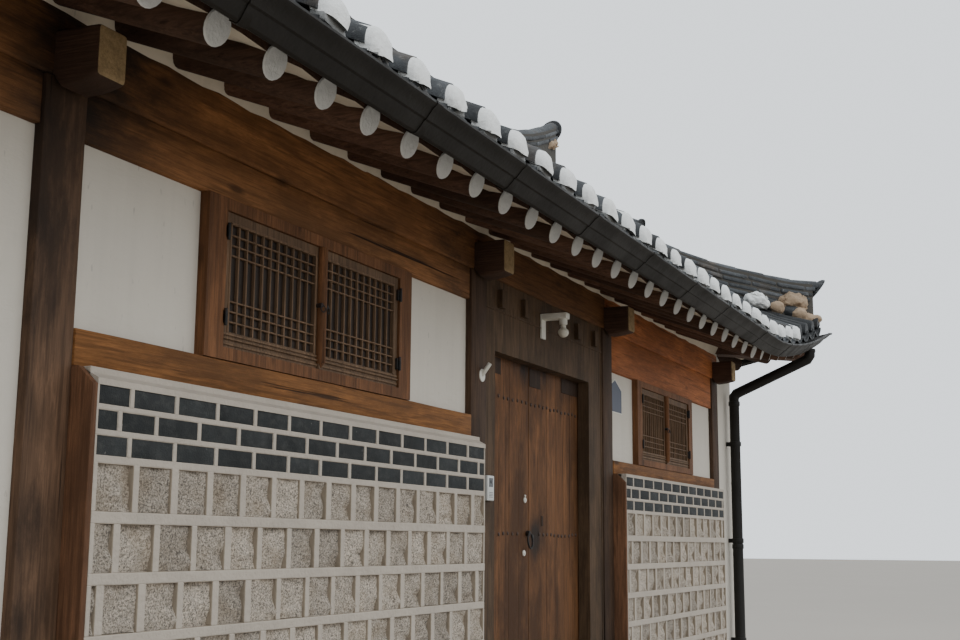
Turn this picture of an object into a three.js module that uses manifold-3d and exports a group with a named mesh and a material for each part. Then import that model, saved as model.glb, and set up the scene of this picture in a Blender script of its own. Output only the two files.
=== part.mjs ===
// Hanok street wing: four bays of timber frame, one bay deep, with a plank gate, two lattice windows,
// granite and brick fire walls and a hip-and-gable tiled roof whose corners turn up.
// Millimetres, +Z up, +X along the street front, the street on the -Y side, ground at Z = 0.
import * as THREE from 'three';
import { mergeVertices } from 'three/addons/utils/BufferGeometryUtils.js';
import Module from 'manifold-3d';

const wasm = await Module();
wasm.setup();

// Plan of the frame
const POST_X = [-5499, -2616, 526, 2616, 5499];
const POST = 190;
const HALF = POST / 2;
const FRONT = 1320;
const GAP = 0.3;

// Levels
const FLOOR_Z = 170;
const BEAM_Z = 2661;
const HEAD_Z = 2806;
const LINTEL_Z = [2495, 2495, 2495, 2396];
const SILL_Z = { 1: [1768, 1887], 3: [1698, 1788] };

// Street walls
const FACE = 1399;
const FIRE_WALL = 250;
const BRICK_TOP = { 1: 1712, 3: 1680 };
const END_BOARD = 25;
const PLASTER = 100;
const PLASTER_FACE = 1285;
const END_WALL_OUT = 6061;

// Windows: frame outline in X and Z, member widths, height and depth
const WINDOWS = {
  1: { x0: -1867, x1: -268, z0: 1888, z1: 2494.5, side: 115, bar: 46, meet: -1072 },
  3: { x0: 3249, x1: 4710, z0: 1788.5, z1: 2395.5, side: 105, bar: 44, meet: 3975 },
};

// Gate
const GATE = { x0: 767, x1: 2272, meet: 1446, top: 2265, recess: 90, leaf: 45, lap: 45, sill: 60 };
const PIVOT_IN = 5;
const PIVOT_R = 11;

// Roof
const EX = 6389;
const EY = 2115;
const RISE = 410;
const RISE_X0 = 4000;
const EAVE_TOP = 2848;
const TILE = 80;
const PITCH_A = 0.4326;
const PITCH_B = 1.442e-4;
const GABLE_X = 4929;
const GABLE_BOARD = 40;

// Rows of cover tiles: pitch, height above the pans between them, section, and how far they stand over the eave
const PAN_DEPTH = 35;
const ROW_PITCH = 293.5;
const ROW_X0 = -33;
const ROW_SECTION = [[-70, -50], [-66, 14], [-30, 56], [30, 56], [66, 14], [70, -50]];
const ROW_OUT = 30;
const ROW_STEPS = [480, 960, 1460];

// Ridges: width, height of the main ridge and the rise of its tips, height of the hips and verges
const RIDGE_W = 190;
const RIDGE_TOP = 4620;
const RIDGE_FOOT = 4330;
const RIDGE_END = 4976;
const TIP_RISE = 400;
const TIP_RUN = 1276;
const HIP_HIGH = 385;
const HIP_TAPER = 0.19;
const HIP_LEVEL = 550;
const VERGE_HIGH = 240;

// Rafters
const RAFTER_D = 120;
const RAFTER_Z0 = 2640;
const RAFTER_SLOPE = 0.39;
const RAFTER_IN = 170;
const RAFTER_PITCH = 303.5;
const RAFTER_X0 = 37;
const BOARD_IN = 235;
const FAN_X = 4400;
const FAN_Y = 300;
const HIP_W = 150;
const HIP_IN = 130;
const HIP_FOOT = 2888;

// Gutter: distances in and out from the eave, its foot and the bend of its front, heights; then the downpipe
const GUTTER_IN = 70;
const GUTTER_OUT = 74;
const GUTTER_BASE = -32;
const GUTTER_BEND = 24;
const GUTTER_LIP = 2752;
const GUTTER_FOOT = 2660;
const GUTTER_WALL = 5;
const PIPE_X = 5880;
const PIPE_Y = 1400;
const PIPE_R = 48;
const OUTLET = 40;

const COLOURS = {
  post: 0x2f2620, beam: 0x6b3f22, sill: 0x96592b, plaster: 0xd2cdc6, granite: 0xa9a196, board: 0x5c3219,
  gate: 0x6a4226, window: 0x7a5030, rafter: 0x33221b, tile: 0x3d4146, ridge: 0x45484c, fill: 0xcfc9c0,
  gutter: 0x36332c, stone: 0x9b968e, floor: 0x8f8a82,
};

function toSolid(geometry) {
  const bare = new THREE.BufferGeometry();
  bare.setAttribute('position', geometry.getAttribute('position').clone());
  if (geometry.index) bare.setIndex(geometry.index.clone());
  const merged = mergeVertices(bare, 1e-4);
  return new wasm.Manifold(new wasm.Mesh({
    numProp: 3,
    vertProperties: new Float32Array(merged.getAttribute('position').array),
    triVerts: new Uint32Array(merged.index.array),
  }));
}

function fromSolid(solid) {
  const mesh = solid.getMesh();
  const geometry = new THREE.BufferGeometry();
  geometry.setAttribute('position', new THREE.BufferAttribute(new Float32Array(mesh.vertProperties), 3));
  geometry.setIndex(new THREE.BufferAttribute(new Uint32Array(mesh.triVerts), 1));
  const flat = geometry.toNonIndexed();
  flat.computeVertexNormals();
  return flat;
}

function join(solids) {
  return solids.reduce((sum, next) => sum.add(next));
}

function box(x0, x1, y0, y1, z0, z1) {
  const geometry = new THREE.BoxGeometry(x1 - x0, y1 - y0, z1 - z0);
  geometry.translate((x0 + x1) / 2, (y0 + y1) / 2, (z0 + z1) / 2);
  return toSolid(geometry);
}

// A profile given as [y, z] points, run along X from x0 to x1
function alongX(points, x0, x1) {
  const shape = new THREE.Shape(points.map(([y, z]) => new THREE.Vector2(y, z)));
  const geometry = new THREE.ExtrudeGeometry(shape, { depth: x1 - x0, bevelEnabled: false });
  geometry.applyMatrix4(new THREE.Matrix4().set(0, 0, 1, x0, 1, 0, 0, 0, 0, 1, 0, 0, 0, 0, 0, 1));
  return toSolid(geometry);
}

// A profile given as [x, z] points, run along Y from y0 to y1
function alongY(points, y0, y1) {
  const shape = new THREE.Shape(points.map(([x, z]) => new THREE.Vector2(x, z)));
  const geometry = new THREE.ExtrudeGeometry(shape, { depth: y1 - y0, bevelEnabled: false });
  geometry.applyMatrix4(new THREE.Matrix4().set(1, 0, 0, 0, 0, 0, -1, y1, 0, 1, 0, 0, 0, 0, 0, 1));
  return toSolid(geometry);
}

// A vertical profile of [t, z] points in the plane through (x, y) along the unit direction (dx, dy)
function inPlane(points, x, y, dx, dy, width) {
  const shape = new THREE.Shape(points.map(([t, z]) => new THREE.Vector2(t, z)));
  const geometry = new THREE.ExtrudeGeometry(shape, { depth: width, bevelEnabled: false });
  geometry.translate(0, 0, -width / 2);
  geometry.applyMatrix4(new THREE.Matrix4().set(dx, 0, dy, x, dy, 0, -dx, y, 0, 1, 0, 0, 0, 0, 0, 1));
  return toSolid(geometry);
}

function rod(a, b, radius, sides) {
  const from = new THREE.Vector3(...a);
  const to = new THREE.Vector3(...b);
  const axis = to.clone().sub(from);
  const geometry = new THREE.CylinderGeometry(radius, radius, axis.length(), sides);
  geometry.applyQuaternion(
    new THREE.Quaternion().setFromUnitVectors(new THREE.Vector3(0, 1, 0), axis.clone().normalize()));
  geometry.translate(...from.add(to).multiplyScalar(0.5).toArray());
  return toSolid(geometry);
}

function mirrorX(solid) {
  return solid.mirror([1, 0, 0]);
}

function mirrorY(solid) {
  return solid.mirror([0, 1, 0]);
}

// Height fields of the roof
function rise(x, y) {
  const along = Math.max(0, (Math.abs(x) - RISE_X0) / (EX - RISE_X0));
  const across = Math.abs(y) / EY;
  return RISE * along ** 1.62 * across ** 1.4;
}

function inset(x, y) {
  const front = EY - Math.abs(y);
  return Math.abs(x) <= GABLE_X + 1e-6 ? front : Math.min(front, EX - Math.abs(x));
}

function tileTop(x, y, d = inset(x, y)) {
  return EAVE_TOP + PITCH_A * d + PITCH_B * d * d + rise(x, y);
}

function tileUnder(x, y, d = inset(x, y)) {
  return tileTop(x, y, d) - TILE;
}

function rafterTop(x, y, d = inset(x, y)) {
  return RAFTER_Z0 + (RAFTER_D / 2) * Math.hypot(1, RAFTER_SLOPE) + RAFTER_SLOPE * d + rise(x, y);
}

// A closed slab between two height functions over a grid, its cells split along the roof's hips
function slab(xs, ys, top, bottom) {
  const nx = xs.length;
  const ny = ys.length;
  const position = [];
  for (const level of [top, bottom]) {
    for (const y of ys) for (const x of xs) position.push(x, y, level(x, y));
  }
  const index = [];
  const at = (i, j, k) => k * nx * ny + j * nx + i;
  for (let j = 0; j < ny - 1; j++) {
    for (let i = 0; i < nx - 1; i++) {
      const rising = (xs[i] + xs[i + 1]) * (ys[j] + ys[j + 1]) > 0;
      for (const k of [0, 1]) {
        const [a, b, c, d] = [at(i, j, k), at(i + 1, j, k), at(i + 1, j + 1, k), at(i, j + 1, k)];
        const faces = rising ? [[a, b, c], [a, c, d]] : [[a, b, d], [b, c, d]];
        for (const f of faces) index.push(...(k === 0 ? f : [f[0], f[2], f[1]]));
      }
    }
  }
  const side = (p, q) => {
    const [pt, qt] = [at(...p, 0), at(...q, 0)];
    const [pb, qb] = [at(...p, 1), at(...q, 1)];
    index.push(pt, pb, qb, pt, qb, qt);
  };
  for (let i = 0; i < nx - 1; i++) {
    side([i, 0], [i + 1, 0]);
    side([i + 1, ny - 1], [i, ny - 1]);
  }
  for (let j = 0; j < ny - 1; j++) {
    side([nx - 1, j], [nx - 1, j + 1]);
    side([0, j + 1], [0, j]);
  }
  const geometry = new THREE.BufferGeometry();
  geometry.setAttribute('position', new THREE.BufferAttribute(new Float32Array(position), 3));
  geometry.setIndex(index);
  return toSolid(geometry);
}

// Distances in from the eave at which the roof surfaces are stepped, up to the gable
const INSETS = [420, 720, 1080, EX - GABLE_X];
const LONG_X = [0, RISE_X0, 4500, GABLE_X];
const CORNERS = [[1, -1, 'front_right'], [-1, -1, 'front_left'], [1, 1, 'back_right'], [-1, 1, 'back_left']];

function mirrored(values) {
  return [...values.slice(1).map((v) => -v).reverse(), ...values];
}

function steps(from) {
  return [from, ...INSETS];
}

function gridY(from) {
  return mirrored([0, 330, ...steps(from).map((t) => EY - t).reverse()]);
}

function endX(from) {
  return steps(from).map((t) => EX - t).reverse();
}

// The part of a roof layer between the gables, and the hipped part past one gable
function layer(from, top, bottom) {
  const inner = mirrored(LONG_X);
  const front = (fn) => (x, y) => fn(x, y, EY - Math.abs(y));
  const hip = (fn) => (x, y) => fn(x, y, Math.min(EY - Math.abs(y), EX - Math.abs(x)));
  const middle = slab(inner, gridY(from), front(top), front(bottom));
  const end = slab(endX(from), gridY(from), hip(top), hip(bottom));
  return join([middle, end, mirrorX(end)]);
}

// The bed of pan tiles between the rows of cover tiles
function panTop(x, y, d) {
  return tileTop(x, y, d) - PAN_DEPTH;
}

// One row of cover tiles from over the eave up to a distance in; place turns a distance in from the eave and
// an offset across the row into x and y
function tileRow(place, reach) {
  const stations = [-ROW_OUT, ...ROW_STEPS].filter((d) => d < reach - 20);
  const n = ROW_SECTION.length;
  const position = [];
  for (const d of [...stations, reach]) {
    const steep = Math.hypot(1, PITCH_A + 2 * PITCH_B * Math.max(d, 0));
    for (const [across, high] of ROW_SECTION) {
      const [x, y] = place(d, across);
      position.push(x, y, tileTop(x, y, d) + high * steep);
    }
  }
  const index = [];
  for (let k = 0; k < stations.length; k++) {
    for (let i = 0; i < n; i++) {
      const [a, b] = [k * n + i, k * n + ((i + 1) % n)];
      index.push(a, b, b + n, a, b + n, a + n);
    }
  }
  const last = stations.length * n;
  for (let i = 1; i < n - 1; i++) index.push(0, i + 1, i, last, last + i, last + i + 1);
  const geometry = new THREE.BufferGeometry();
  geometry.setAttribute('position', new THREE.BufferAttribute(new Float32Array(position), 3));
  geometry.setIndex(index);
  return toSolid(geometry);
}

// The rows of the front slope, and those of the hipped slope at the right end
function frontRows() {
  const rows = [];
  for (let k = -21; k <= 21; k++) {
    const x0 = ROW_X0 + k * ROW_PITCH;
    const reach = Math.abs(x0) < GABLE_X ? EY - RIDGE_W / 2 - GAP : EX - Math.abs(x0);
    if (reach > ROW_PITCH / 2) rows.push(tileRow((d, across) => [x0 + across, d - EY], reach));
  }
  return rows;
}

function endRows() {
  const rows = [];
  for (let k = -6; k <= 6; k++) {
    const y0 = k * ROW_PITCH;
    const reach = Math.min(EX - GABLE_X - GABLE_BOARD - 2 * GAP, EY - Math.abs(y0));
    rows.push(tileRow((d, across) => [EX - d, y0 + across], reach));
  }
  return rows;
}

function roofCover() {
  const front = join(frontRows());
  const end = join(endRows());
  const rows = join([front, mirrorY(front), end, mirrorX(end)]);
  const corners = CORNERS.map(([sx, sy]) => cornerRidge(sx, sy, GAP));
  return layer(0, panTop, tileUnder).add(rows.subtract(join(corners)));
}

function roofFill() {
  const under = (x, y, d) => rafterTop(x, y, d) + GAP;
  const body = layer(BOARD_IN + GAP, (x, y, d) => tileUnder(x, y, d) - GAP, under);
  const cutters = [];
  for (const [sx, sy] of CORNERS) cutters.push(hipRafter(sx, sy, GAP));
  return body.subtract(join(cutters));
}

// Hip rafter: a deep plank on edge over each corner post
function hipRafter(sx, sy, grow = 0) {
  const s = Math.SQRT1_2;
  const out = [HIP_IN, 235, 420, 620, 795, 1040, 1250, 1440];
  const top = out.map((t) => [-t * Math.SQRT2, rafterTop(EX - t, EY - t, t) - 6 + grow]);
  const under = [[1440, 3120], [1000, 2992], [990, HIP_FOOT], [HIP_IN, HIP_FOOT]];
  const foot = under.map(([t, z]) => [-t * Math.SQRT2, z - grow]);
  top[0][0] += grow;
  foot[3][0] += grow;
  top[top.length - 1][0] -= grow;
  foot[0][0] -= grow;
  return inPlane([...top, ...foot], sx * EX, sy * EY, sx * s, sy * s, HIP_W + 2 * grow);
}

// A rafter from its outer end inwards, lowered until it lies under the boarding all along
function rafter(outer, inner) {
  const reach = [0, 0.1, 0.2, 0.3, 0.4, 0.5, 0.6, 0.7, 0.8, 0.9, 1];
  const spot = (t) => [outer[0] + (inner[0] - outer[0]) * t, outer[1] + (inner[1] - outer[1]) * t];
  const drop = (RAFTER_D / 2) * Math.hypot(1, RAFTER_SLOPE);
  const level = (t) => rafterTop(...spot(t)) - drop;
  const [z0, z1] = [level(0), level(1)];
  const over = Math.max(...reach.map((t) => z0 + (z1 - z0) * t - level(t)), 0);
  const gap = over > 0.01 ? over + 5 : 0.1;
  return rod([...outer, z0 - gap], [...inner, z1 - gap], RAFTER_D / 2, 8);
}

// Rafters that run straight up the long slopes
function parallelRafters(sy) {
  const pieces = [];
  for (let k = -15; k <= 15; k++) {
    const x = RAFTER_X0 + k * RAFTER_PITCH;
    if (Math.abs(x) < RISE_X0) pieces.push(rafter([x, sy * (EY - RAFTER_IN)], [x, sy * 26]));
  }
  return pieces;
}

// Rafters near the corners, which fan out towards each corner post, with the hip rafters
function cornerRafters(sy) {
  const pieces = [];
  const y0 = EY - RAFTER_IN;
  for (const sx of [1, -1]) {
    for (let k = 0; k < 7; k++) {
      const x = RAFTER_X0 + sx * (14 + k) * RAFTER_PITCH;
      if (Math.abs(x) < RISE_X0) continue;
      const t = (y0 - 1080) / (y0 - FAN_Y);
      const inner = Math.abs(x) > FAN_X ? [x + (sx * FAN_X - x) * t, sy * (y0 + (FAN_Y - y0) * t)] : [x, sy * 26];
      pieces.push(rafter([x, sy * y0], inner));
    }
    pieces.push(hipRafter(sx, sy));
  }
  return pieces;
}

// The board laid over the rafter ends
function eaveBoard(xs, ys) {
  const d = (x, y) => Math.min(EY - Math.abs(y), EX - Math.abs(x));
  return slab(xs, ys, (x, y) => tileUnder(x, y, d(x, y)) - GAP, (x, y) => rafterTop(x, y, d(x, y)) - 30);
}

function raftersLong(sy) {
  const [a, b] = [EY - BOARD_IN, EY - RAFTER_IN];
  const half = [RISE_X0, FAN_X, 4800, 5200, 5600, 5900, EX - BOARD_IN, EX - RAFTER_IN];
  const xs = [...half.map((x) => -x).reverse(), ...half];
  const board = eaveBoard(xs, sy > 0 ? [a, b] : [-b, -a]);
  return join([board, ...parallelRafters(sy), join(cornerRafters(sy)).subtract(beds())]);
}

function raftersEnd(sx) {
  const pieces = [];
  const x0 = EX - RAFTER_IN;
  for (const y of [-151, 151]) pieces.push(rafter([x0, y], [GABLE_X + 40, y]));
  for (const sy of [1, -1]) {
    for (const y of [454, 757, 1060, 1363, 1640]) {
      const t = (x0 - 5350) / (x0 - FAN_X);
      pieces.push(rafter([x0, sy * y], [x0 + (FAN_X - x0) * t, sy * (y + (160 - y) * t)]));
    }
  }
  const ys = [1300, 900, 500, 0];
  const lines = [-(EY - BOARD_IN - GAP), -1600, ...ys.map((y) => -y), ...ys.slice(0, 3).reverse(), 1600,
    EY - BOARD_IN - GAP];
  pieces.push(eaveBoard([EX - BOARD_IN, x0], lines));
  const body = join(pieces).subtract(join([hipRafter(1, 1, GAP), hipRafter(1, -1, GAP), beds()]));
  return sx > 0 ? body : mirrorX(body);
}

// Ridges of stacked tiles: the main ridge, turned up at its ends
function mainRidge() {
  const top = (x) => RIDGE_TOP + TIP_RISE * (Math.max(0, x - RIDGE_END + TIP_RUN) / TIP_RUN) ** 1.5;
  const half = [0, 1900, 3700, 4000, 4300, 4600, 4800, RIDGE_END].map((x) => [x, top(x)]);
  const left = half.slice(1).map(([x, z]) => [-x, z]).reverse();
  const foot = [[RIDGE_END, RIDGE_FOOT], [-RIDGE_END, RIDGE_FOOT]];
  return alongY([...left, ...half, ...foot], -RIDGE_W / 2, RIDGE_W / 2);
}

// A hip's ridge, and the ridge that falls down the verge of the gable to meet it
function cornerRidge(sx, sy, grow = 0) {
  const s = Math.SQRT1_2;
  const out = [-30 - grow, 60, 200, 420, 620, 820, 1040, 1250, 1420 + grow];
  const lift = (t) => HIP_HIGH - HIP_TAPER * Math.max(0, t - HIP_LEVEL) + grow;
  const surface = (t) => tileTop(EX - Math.max(t, 0), EY - Math.max(t, 0), Math.max(t, 0));
  const top = out.map((t) => [-t * Math.SQRT2, surface(t) + lift(t)]);
  const foot = [...out].reverse().map((t) => [-t * Math.SQRT2, surface(t) - 60 - grow]);
  const width = RIDGE_W + 2 * grow;
  const hip = inPlane([...top, ...foot], sx * EX, sy * EY, sx * s, sy * s, width);
  const x = GABLE_X - RIDGE_W / 2;
  const run = [850 + grow, 780, 640, 480, 300, 97 - grow];
  const height = (y) => tileTop(x, y, EY - y);
  const upper = run.map((y) => [sy * y, height(y) + VERGE_HIGH + Math.max(0, y - 640) * 0.5 + grow]);
  const lower = [...run].reverse().map((y) => [sy * y, height(y) - 60 - grow]);
  return hip.add(alongX([...upper, ...lower], sx * x - width / 2, sx * x + width / 2));
}

function ridges() {
  const under = layer(0, (x, y, d) => panTop(x, y, d) + GAP, (x, y, d) => tileTop(x, y, d) - 200);
  const out = { main: mainRidge().subtract(under) };
  for (const [sx, sy, name] of CORNERS) out[name] = cornerRidge(sx, sy).subtract(under);
  return out;
}

// Gable: a board wall in the triangle over the hipped end
function gable(sx) {
  const low = (y) => panTop(GABLE_X, y, EX - GABLE_X) + 2;
  const points = [[-530, low(530)], [0, low(0)], [530, low(530)]];
  for (const y of [510, 400, 260, 130, 0, -130, -260, -400, -510]) {
    points.push([y, tileUnder(GABLE_X, y, EY - Math.abs(y)) - 4]);
  }
  const [a, b] = [GABLE_X + GAP, GABLE_X + GABLE_BOARD];
  return sx > 0 ? alongX(points, a, b) : alongX(points, -b, -a);
}

// Gutter: an open channel that follows the eave all round and climbs at the corners
function gutter() {
  const along = mirrored([...LONG_X, ...INSETS.slice(0, 3).map((t) => EX - t).reverse()]);
  const side = mirrored([0, 330, ...INSETS.map((t) => EY - t).reverse()]);
  const line = [...along.map((x) => [x, -EY, 0, -1]), [EX, -EY, 1, -1], ...side.map((y) => [EX, y, 1, 0]),
    [EX, EY, 1, 1], ...along.map((x) => [-x, EY, 0, 1]), [-EX, EY, -1, 1],
    ...side.map((y) => [-EX, -y, -1, 0]), [-EX, -EY, -1, -1]];
  const [a, b, wall] = [-GUTTER_IN, GUTTER_OUT, GUTTER_WALL];
  const [top, foot, base, bend] = [GUTTER_LIP, GUTTER_FOOT, GUTTER_BASE, GUTTER_BEND];
  const profile = [[a, foot + 22], [base, foot], [bend, foot + 42], [b, top], [b - 8, top],
    [bend - 3, foot + 48], [base - 2, foot + 6], [a + wall, foot + 25]];
  const n = profile.length + 2;
  const position = [];
  for (const [x, y, nx, ny] of line) {
    const step = INSETS[0];
    const low = tileUnder(x, y, 0);
    const high = tileUnder(x - nx * step, y - ny * step, step);
    const lip = (o) => low + ((high - low) * -o) / step - 0.4;
    const section = [[a, lip(a)], ...profile.map(([o, z]) => [o, z + rise(x, y)]), [a + wall, lip(a + wall)]];
    for (const [o, z] of section) position.push(x + nx * o, y + ny * o, z);
  }
  const index = [];
  for (let i = 0; i < line.length; i++) {
    const j = (i + 1) % line.length;
    for (let k = 0; k < n; k++) {
      const m = (k + 1) % n;
      index.push(i * n + k, j * n + k, j * n + m, i * n + k, j * n + m, i * n + m);
    }
  }
  const geometry = new THREE.BufferGeometry();
  geometry.setAttribute('position', new THREE.BufferAttribute(new Float32Array(position), 3));
  geometry.setIndex(index);
  return toSolid(geometry);
}

// Downpipe: from its outlet under the gutter back to the wall, down, and out over the ground
function downpipe() {
  const under = (x) => GUTTER_FOOT + rise(x, EY) - GAP;
  const [y0, z0] = [-EY - GUTTER_BASE, under(PIPE_X)];
  const path = [[PIPE_X, y0, z0 - 30], [PIPE_X, y0, z0 - 70], [PIPE_X, -PIPE_Y, 2560], [PIPE_X, -PIPE_Y, 190],
    [PIPE_X, -PIPE_Y - 120, 60]];
  const pieces = [];
  for (let i = 0; i < path.length - 1; i++) pieces.push(rod(path[i], path[i + 1], PIPE_R, 10));
  for (const p of path.slice(1, -1)) {
    const ball = new THREE.SphereGeometry(PIPE_R, 10, 6);
    ball.translate(...p);
    pieces.push(toSolid(ball));
  }
  const [x0, x1] = [PIPE_X - OUTLET, PIPE_X + OUTLET];
  pieces.push(alongY([[x0, z0 - 55], [x1, z0 - 55], [x1, under(x1)], [x0, under(x0)]], y0 - OUTLET, y0 + OUTLET));
  for (const z of [400, 1250, 2100]) {
    pieces.push(box(PIPE_X - 55, PIPE_X + 55, -PIPE_Y, -FRONT - GAP, z, z + OUTLET));
  }
  return join(pieces);
}

// Timber frame
function frontPost(i) {
  const x = POST_X[i];
  return box(x - HALF, x + HALF, -FRONT, -FRONT + POST, 0, BEAM_Z - GAP);
}

// Height of the bed on which the rafters lie, a distance d in from the eave
function seat(d) {
  return RAFTER_Z0 - 64.8 + RAFTER_SLOPE * d;
}

function purlinBar(grow = 0) {
  const [y0, y1] = [-FRONT - grow, -FRONT + POST + grow];
  const points = [[y0, BEAM_Z], [y1, BEAM_Z], [y1, seat(EY - FRONT + POST) + grow], [y0, seat(EY - FRONT) + grow]];
  const end = POST_X[4] + HALF + grow;
  return alongX(points, -end, end);
}

function endBar(y1, grow = 0) {
  const [x0, x1] = [POST_X[4] - HALF - grow, POST_X[4] + HALF + grow];
  const points = [[x0, BEAM_Z], [x1, BEAM_Z], [x1, seat(EX - x1) + grow], [x0, seat(EX - x0) + grow]];
  return alongY(points, -y1, y1);
}

function crossbeam(i) {
  const x = POST_X[i];
  const pieces = [box(x - 70, x + 70, -FRONT - 176, FRONT + 176, BEAM_Z, HEAD_Z)];
  if (i > 0 && i < 4) {
    pieces.push(box(x - 85, x + 85, -1100, 1100, BEAM_Z, 2860));
    pieces.push(box(x - 70, x + 70, -75, 75, 2850, 3196));
  } else {
    const bar = endBar(FRONT - POST - GAP);
    pieces.push(x > 0 ? bar : mirrorX(bar));
  }
  return join(pieces);
}

function purlin(sy) {
  let body = purlinBar();
  for (const x of POST_X) {
    body = body.subtract(box(x - 70 - GAP, x + 70 + GAP, -FRONT - 10, -FRONT + POST + 10, BEAM_Z - 10,
      HEAD_Z + GAP));
  }
  return sy < 0 ? body : mirrorY(body);
}

// The purlins a hair larger, to notch the rafters over them
function beds() {
  const front = purlinBar(GAP);
  const end = endBar(FRONT, GAP);
  return join([front, mirrorY(front), end, mirrorX(end), ridgePurlin(GAP)]);
}

function ridgePurlin(grow = 0) {
  const [w, peak] = [80 + grow, seat(EY) + grow];
  const edge = peak - RAFTER_SLOPE * w;
  return alongX([[-w, 3196.3], [w, 3196.3], [w, edge], [0, peak - 6], [-w, edge]], -4900 - grow, 4900 + grow);
}

function bay(i) {
  return [POST_X[i] + HALF + GAP, POST_X[i + 1] - HALF - GAP];
}

function lintel(i) {
  const [x0, x1] = bay(i);
  return box(x0, x1, -FRONT + 12, -FRONT + 150, LINTEL_Z[i], BEAM_Z - GAP);
}

function sill(i) {
  const [x0, x1] = bay(i);
  return box(x0, x1, -FRONT - 4, -FRONT + 150, SILL_Z[i][0], SILL_Z[i][1]);
}

// Street walls
function fireWall(i) {
  const [a, x1] = bay(i);
  const x0 = a + END_BOARD + GAP;
  const top = SILL_Z[i][0] - GAP;
  const points = [[-FACE, 0], [-FACE + FIRE_WALL, 0], [-FACE + FIRE_WALL, top], [-FRONT - 2, top],
    [-FACE, BRICK_TOP[i]]];
  return alongX(points, x0, x1);
}

function endBoard(i) {
  const x0 = bay(i)[0];
  const points = [[-FACE - 6, 0], [-FACE + FIRE_WALL, 0], [-FACE + FIRE_WALL, SILL_Z[i][0] - GAP],
    [-FRONT - 2, SILL_Z[i][0] - GAP], [-FACE - 6, BRICK_TOP[i] + 4]];
  return alongX(points, x0, x0 + END_BOARD);
}

function plasterBay(i) {
  const [x0, x1] = bay(i);
  const z0 = SILL_Z[i] ? SILL_Z[i][1] + GAP : 0;
  const wall = box(x0, x1, -PLASTER_FACE, -PLASTER_FACE + PLASTER, z0, LINTEL_Z[i] - GAP);
  const w = WINDOWS[i];
  if (!w) return wall;
  return wall.subtract(box(w.x0 + 30, w.x1 - 30, -1400, -1000, z0 + 20, w.z1 - 22));
}

function endWall(sx) {
  const inner = POST_X[4] + HALF + GAP;
  const under = (x) => RAFTER_Z0 - 66 + RAFTER_SLOPE * (EX - x);
  const points = [[inner, 0], [END_WALL_OUT, 0], [END_WALL_OUT, under(END_WALL_OUT)], [inner, under(inner)]];
  const body = alongY(points, -FRONT, FRONT);
  return sx > 0 ? body : mirrorX(body);
}

// A window's fixed frame, lapping over the edge of the plaster, and its pair of closed casements
function windowFrame(w, sy) {
  const [y0, y1] = [-FRONT - 8, -PLASTER_FACE - GAP];
  const outer = join([box(w.x0, w.x1, y0, y1, w.z0, w.z1),
    box(w.x0 + 30 + GAP, w.x1 - 30 - GAP, y1 - 1, -PLASTER_FACE + PLASTER, w.z0 + 22, w.z1 - 24)]);
  const hole = box(w.x0 + w.side, w.x1 - w.side, -1500, -1000, w.z0 + w.bar, w.z1 - w.bar);
  const body = outer.subtract(hole);
  return sy < 0 ? body : mirrorY(body);
}

function casements(w, sy, edge = 2, foot = GAP) {
  const [x0, x1] = [w.x0 + w.side + edge, w.x1 - w.side - edge];
  const [z0, z1] = [w.z0 + w.bar + foot, w.z1 - w.bar - edge];
  const y0 = -FRONT + 4;
  const pieces = [box(w.meet - 16, w.meet + 16, y0 - 14, y0 + 34, z0, z1)];
  for (const [a, b] of [[x0, w.meet], [w.meet, x1]]) {
    const leaf = box(a, b, y0, y0 + 34, z0, z1);
    const field = box(a + 42, b - 42, y0 - 5, y0 + 16, z0 + 62, z1 - 44);
    pieces.push(leaf.subtract(field));
  }
  const body = join(pieces);
  return sy < 0 ? body : mirrorY(body);
}

// Gate: jambs, header, threshold and the lintel with its four tenons
function gateFrame() {
  const [x0, x1] = bay(2);
  const [y0, y1] = [-FRONT + 14, -FRONT + GATE.recess];
  const z0 = FLOOR_Z + GAP;
  const pieces = [
    box(x0, GATE.x0, y0, y1, z0, GATE.top + 5),
    box(GATE.x1, x1, y0, y1, z0, GATE.top + 5),
    box(x0, x1, y0, y1, GATE.top, BEAM_Z - GAP),
    box(x0, x1, y0, y1, z0, z0 + GATE.sill),
  ];
  for (const x of [800, 1130, 2010, 2330]) pieces.push(box(x, x + 60, y0 - 28, y0 + 5, 2510, 2610));
  for (const [a, b] of [[x0, GATE.x0 - GATE.lap - 30], [GATE.x1 + GATE.lap + 30, x1]]) {
    pieces.push(box(a, b, y1 - 5, -FRONT + POST, z0, BEAM_Z - GAP));
  }
  pieces.push(box(x0, x1, y1 - 5, -FRONT + POST, GATE.top + 30, BEAM_Z - GAP));
  return join(pieces);
}

function gateLeaf(side) {
  const y0 = -FRONT + GATE.recess + 6;
  const [x0, x1] = side < 0 ? [GATE.x0 - GATE.lap, GATE.meet - 3] : [GATE.meet + 3, GATE.x1 + GATE.lap];
  const pieces = [box(x0, x1, y0, y0 + GATE.leaf, FLOOR_Z + 14, GATE.top + 22)];
  const [b0, b1] = side < 0 ? [x0 + 100, x1 - 30] : [x0 + 30, x1 - 100];
  for (const z of [480, 1230, 1980]) pieces.push(box(b0, b1, y0 + GATE.leaf - 2, y0 + GATE.leaf + 40, z, z + 90));
  const x = side < 0 ? x0 + PIVOT_IN : x1 - PIVOT_IN;
  const y = y0 + GATE.leaf / 2;
  pieces.push(rod([x, y, FLOOR_Z + GAP], [x, y, FLOOR_Z + 60], PIVOT_R, 12));
  pieces.push(rod([x, y, GATE.top - 40], [x, y, GATE.top + 30 - GAP], PIVOT_R, 12));
  return join(pieces);
}

function stoneStep() {
  const [x0, x1] = bay(2);
  return box(x0, x1, -FRONT - 60, -1080, 0, FLOOR_Z);
}

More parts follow.
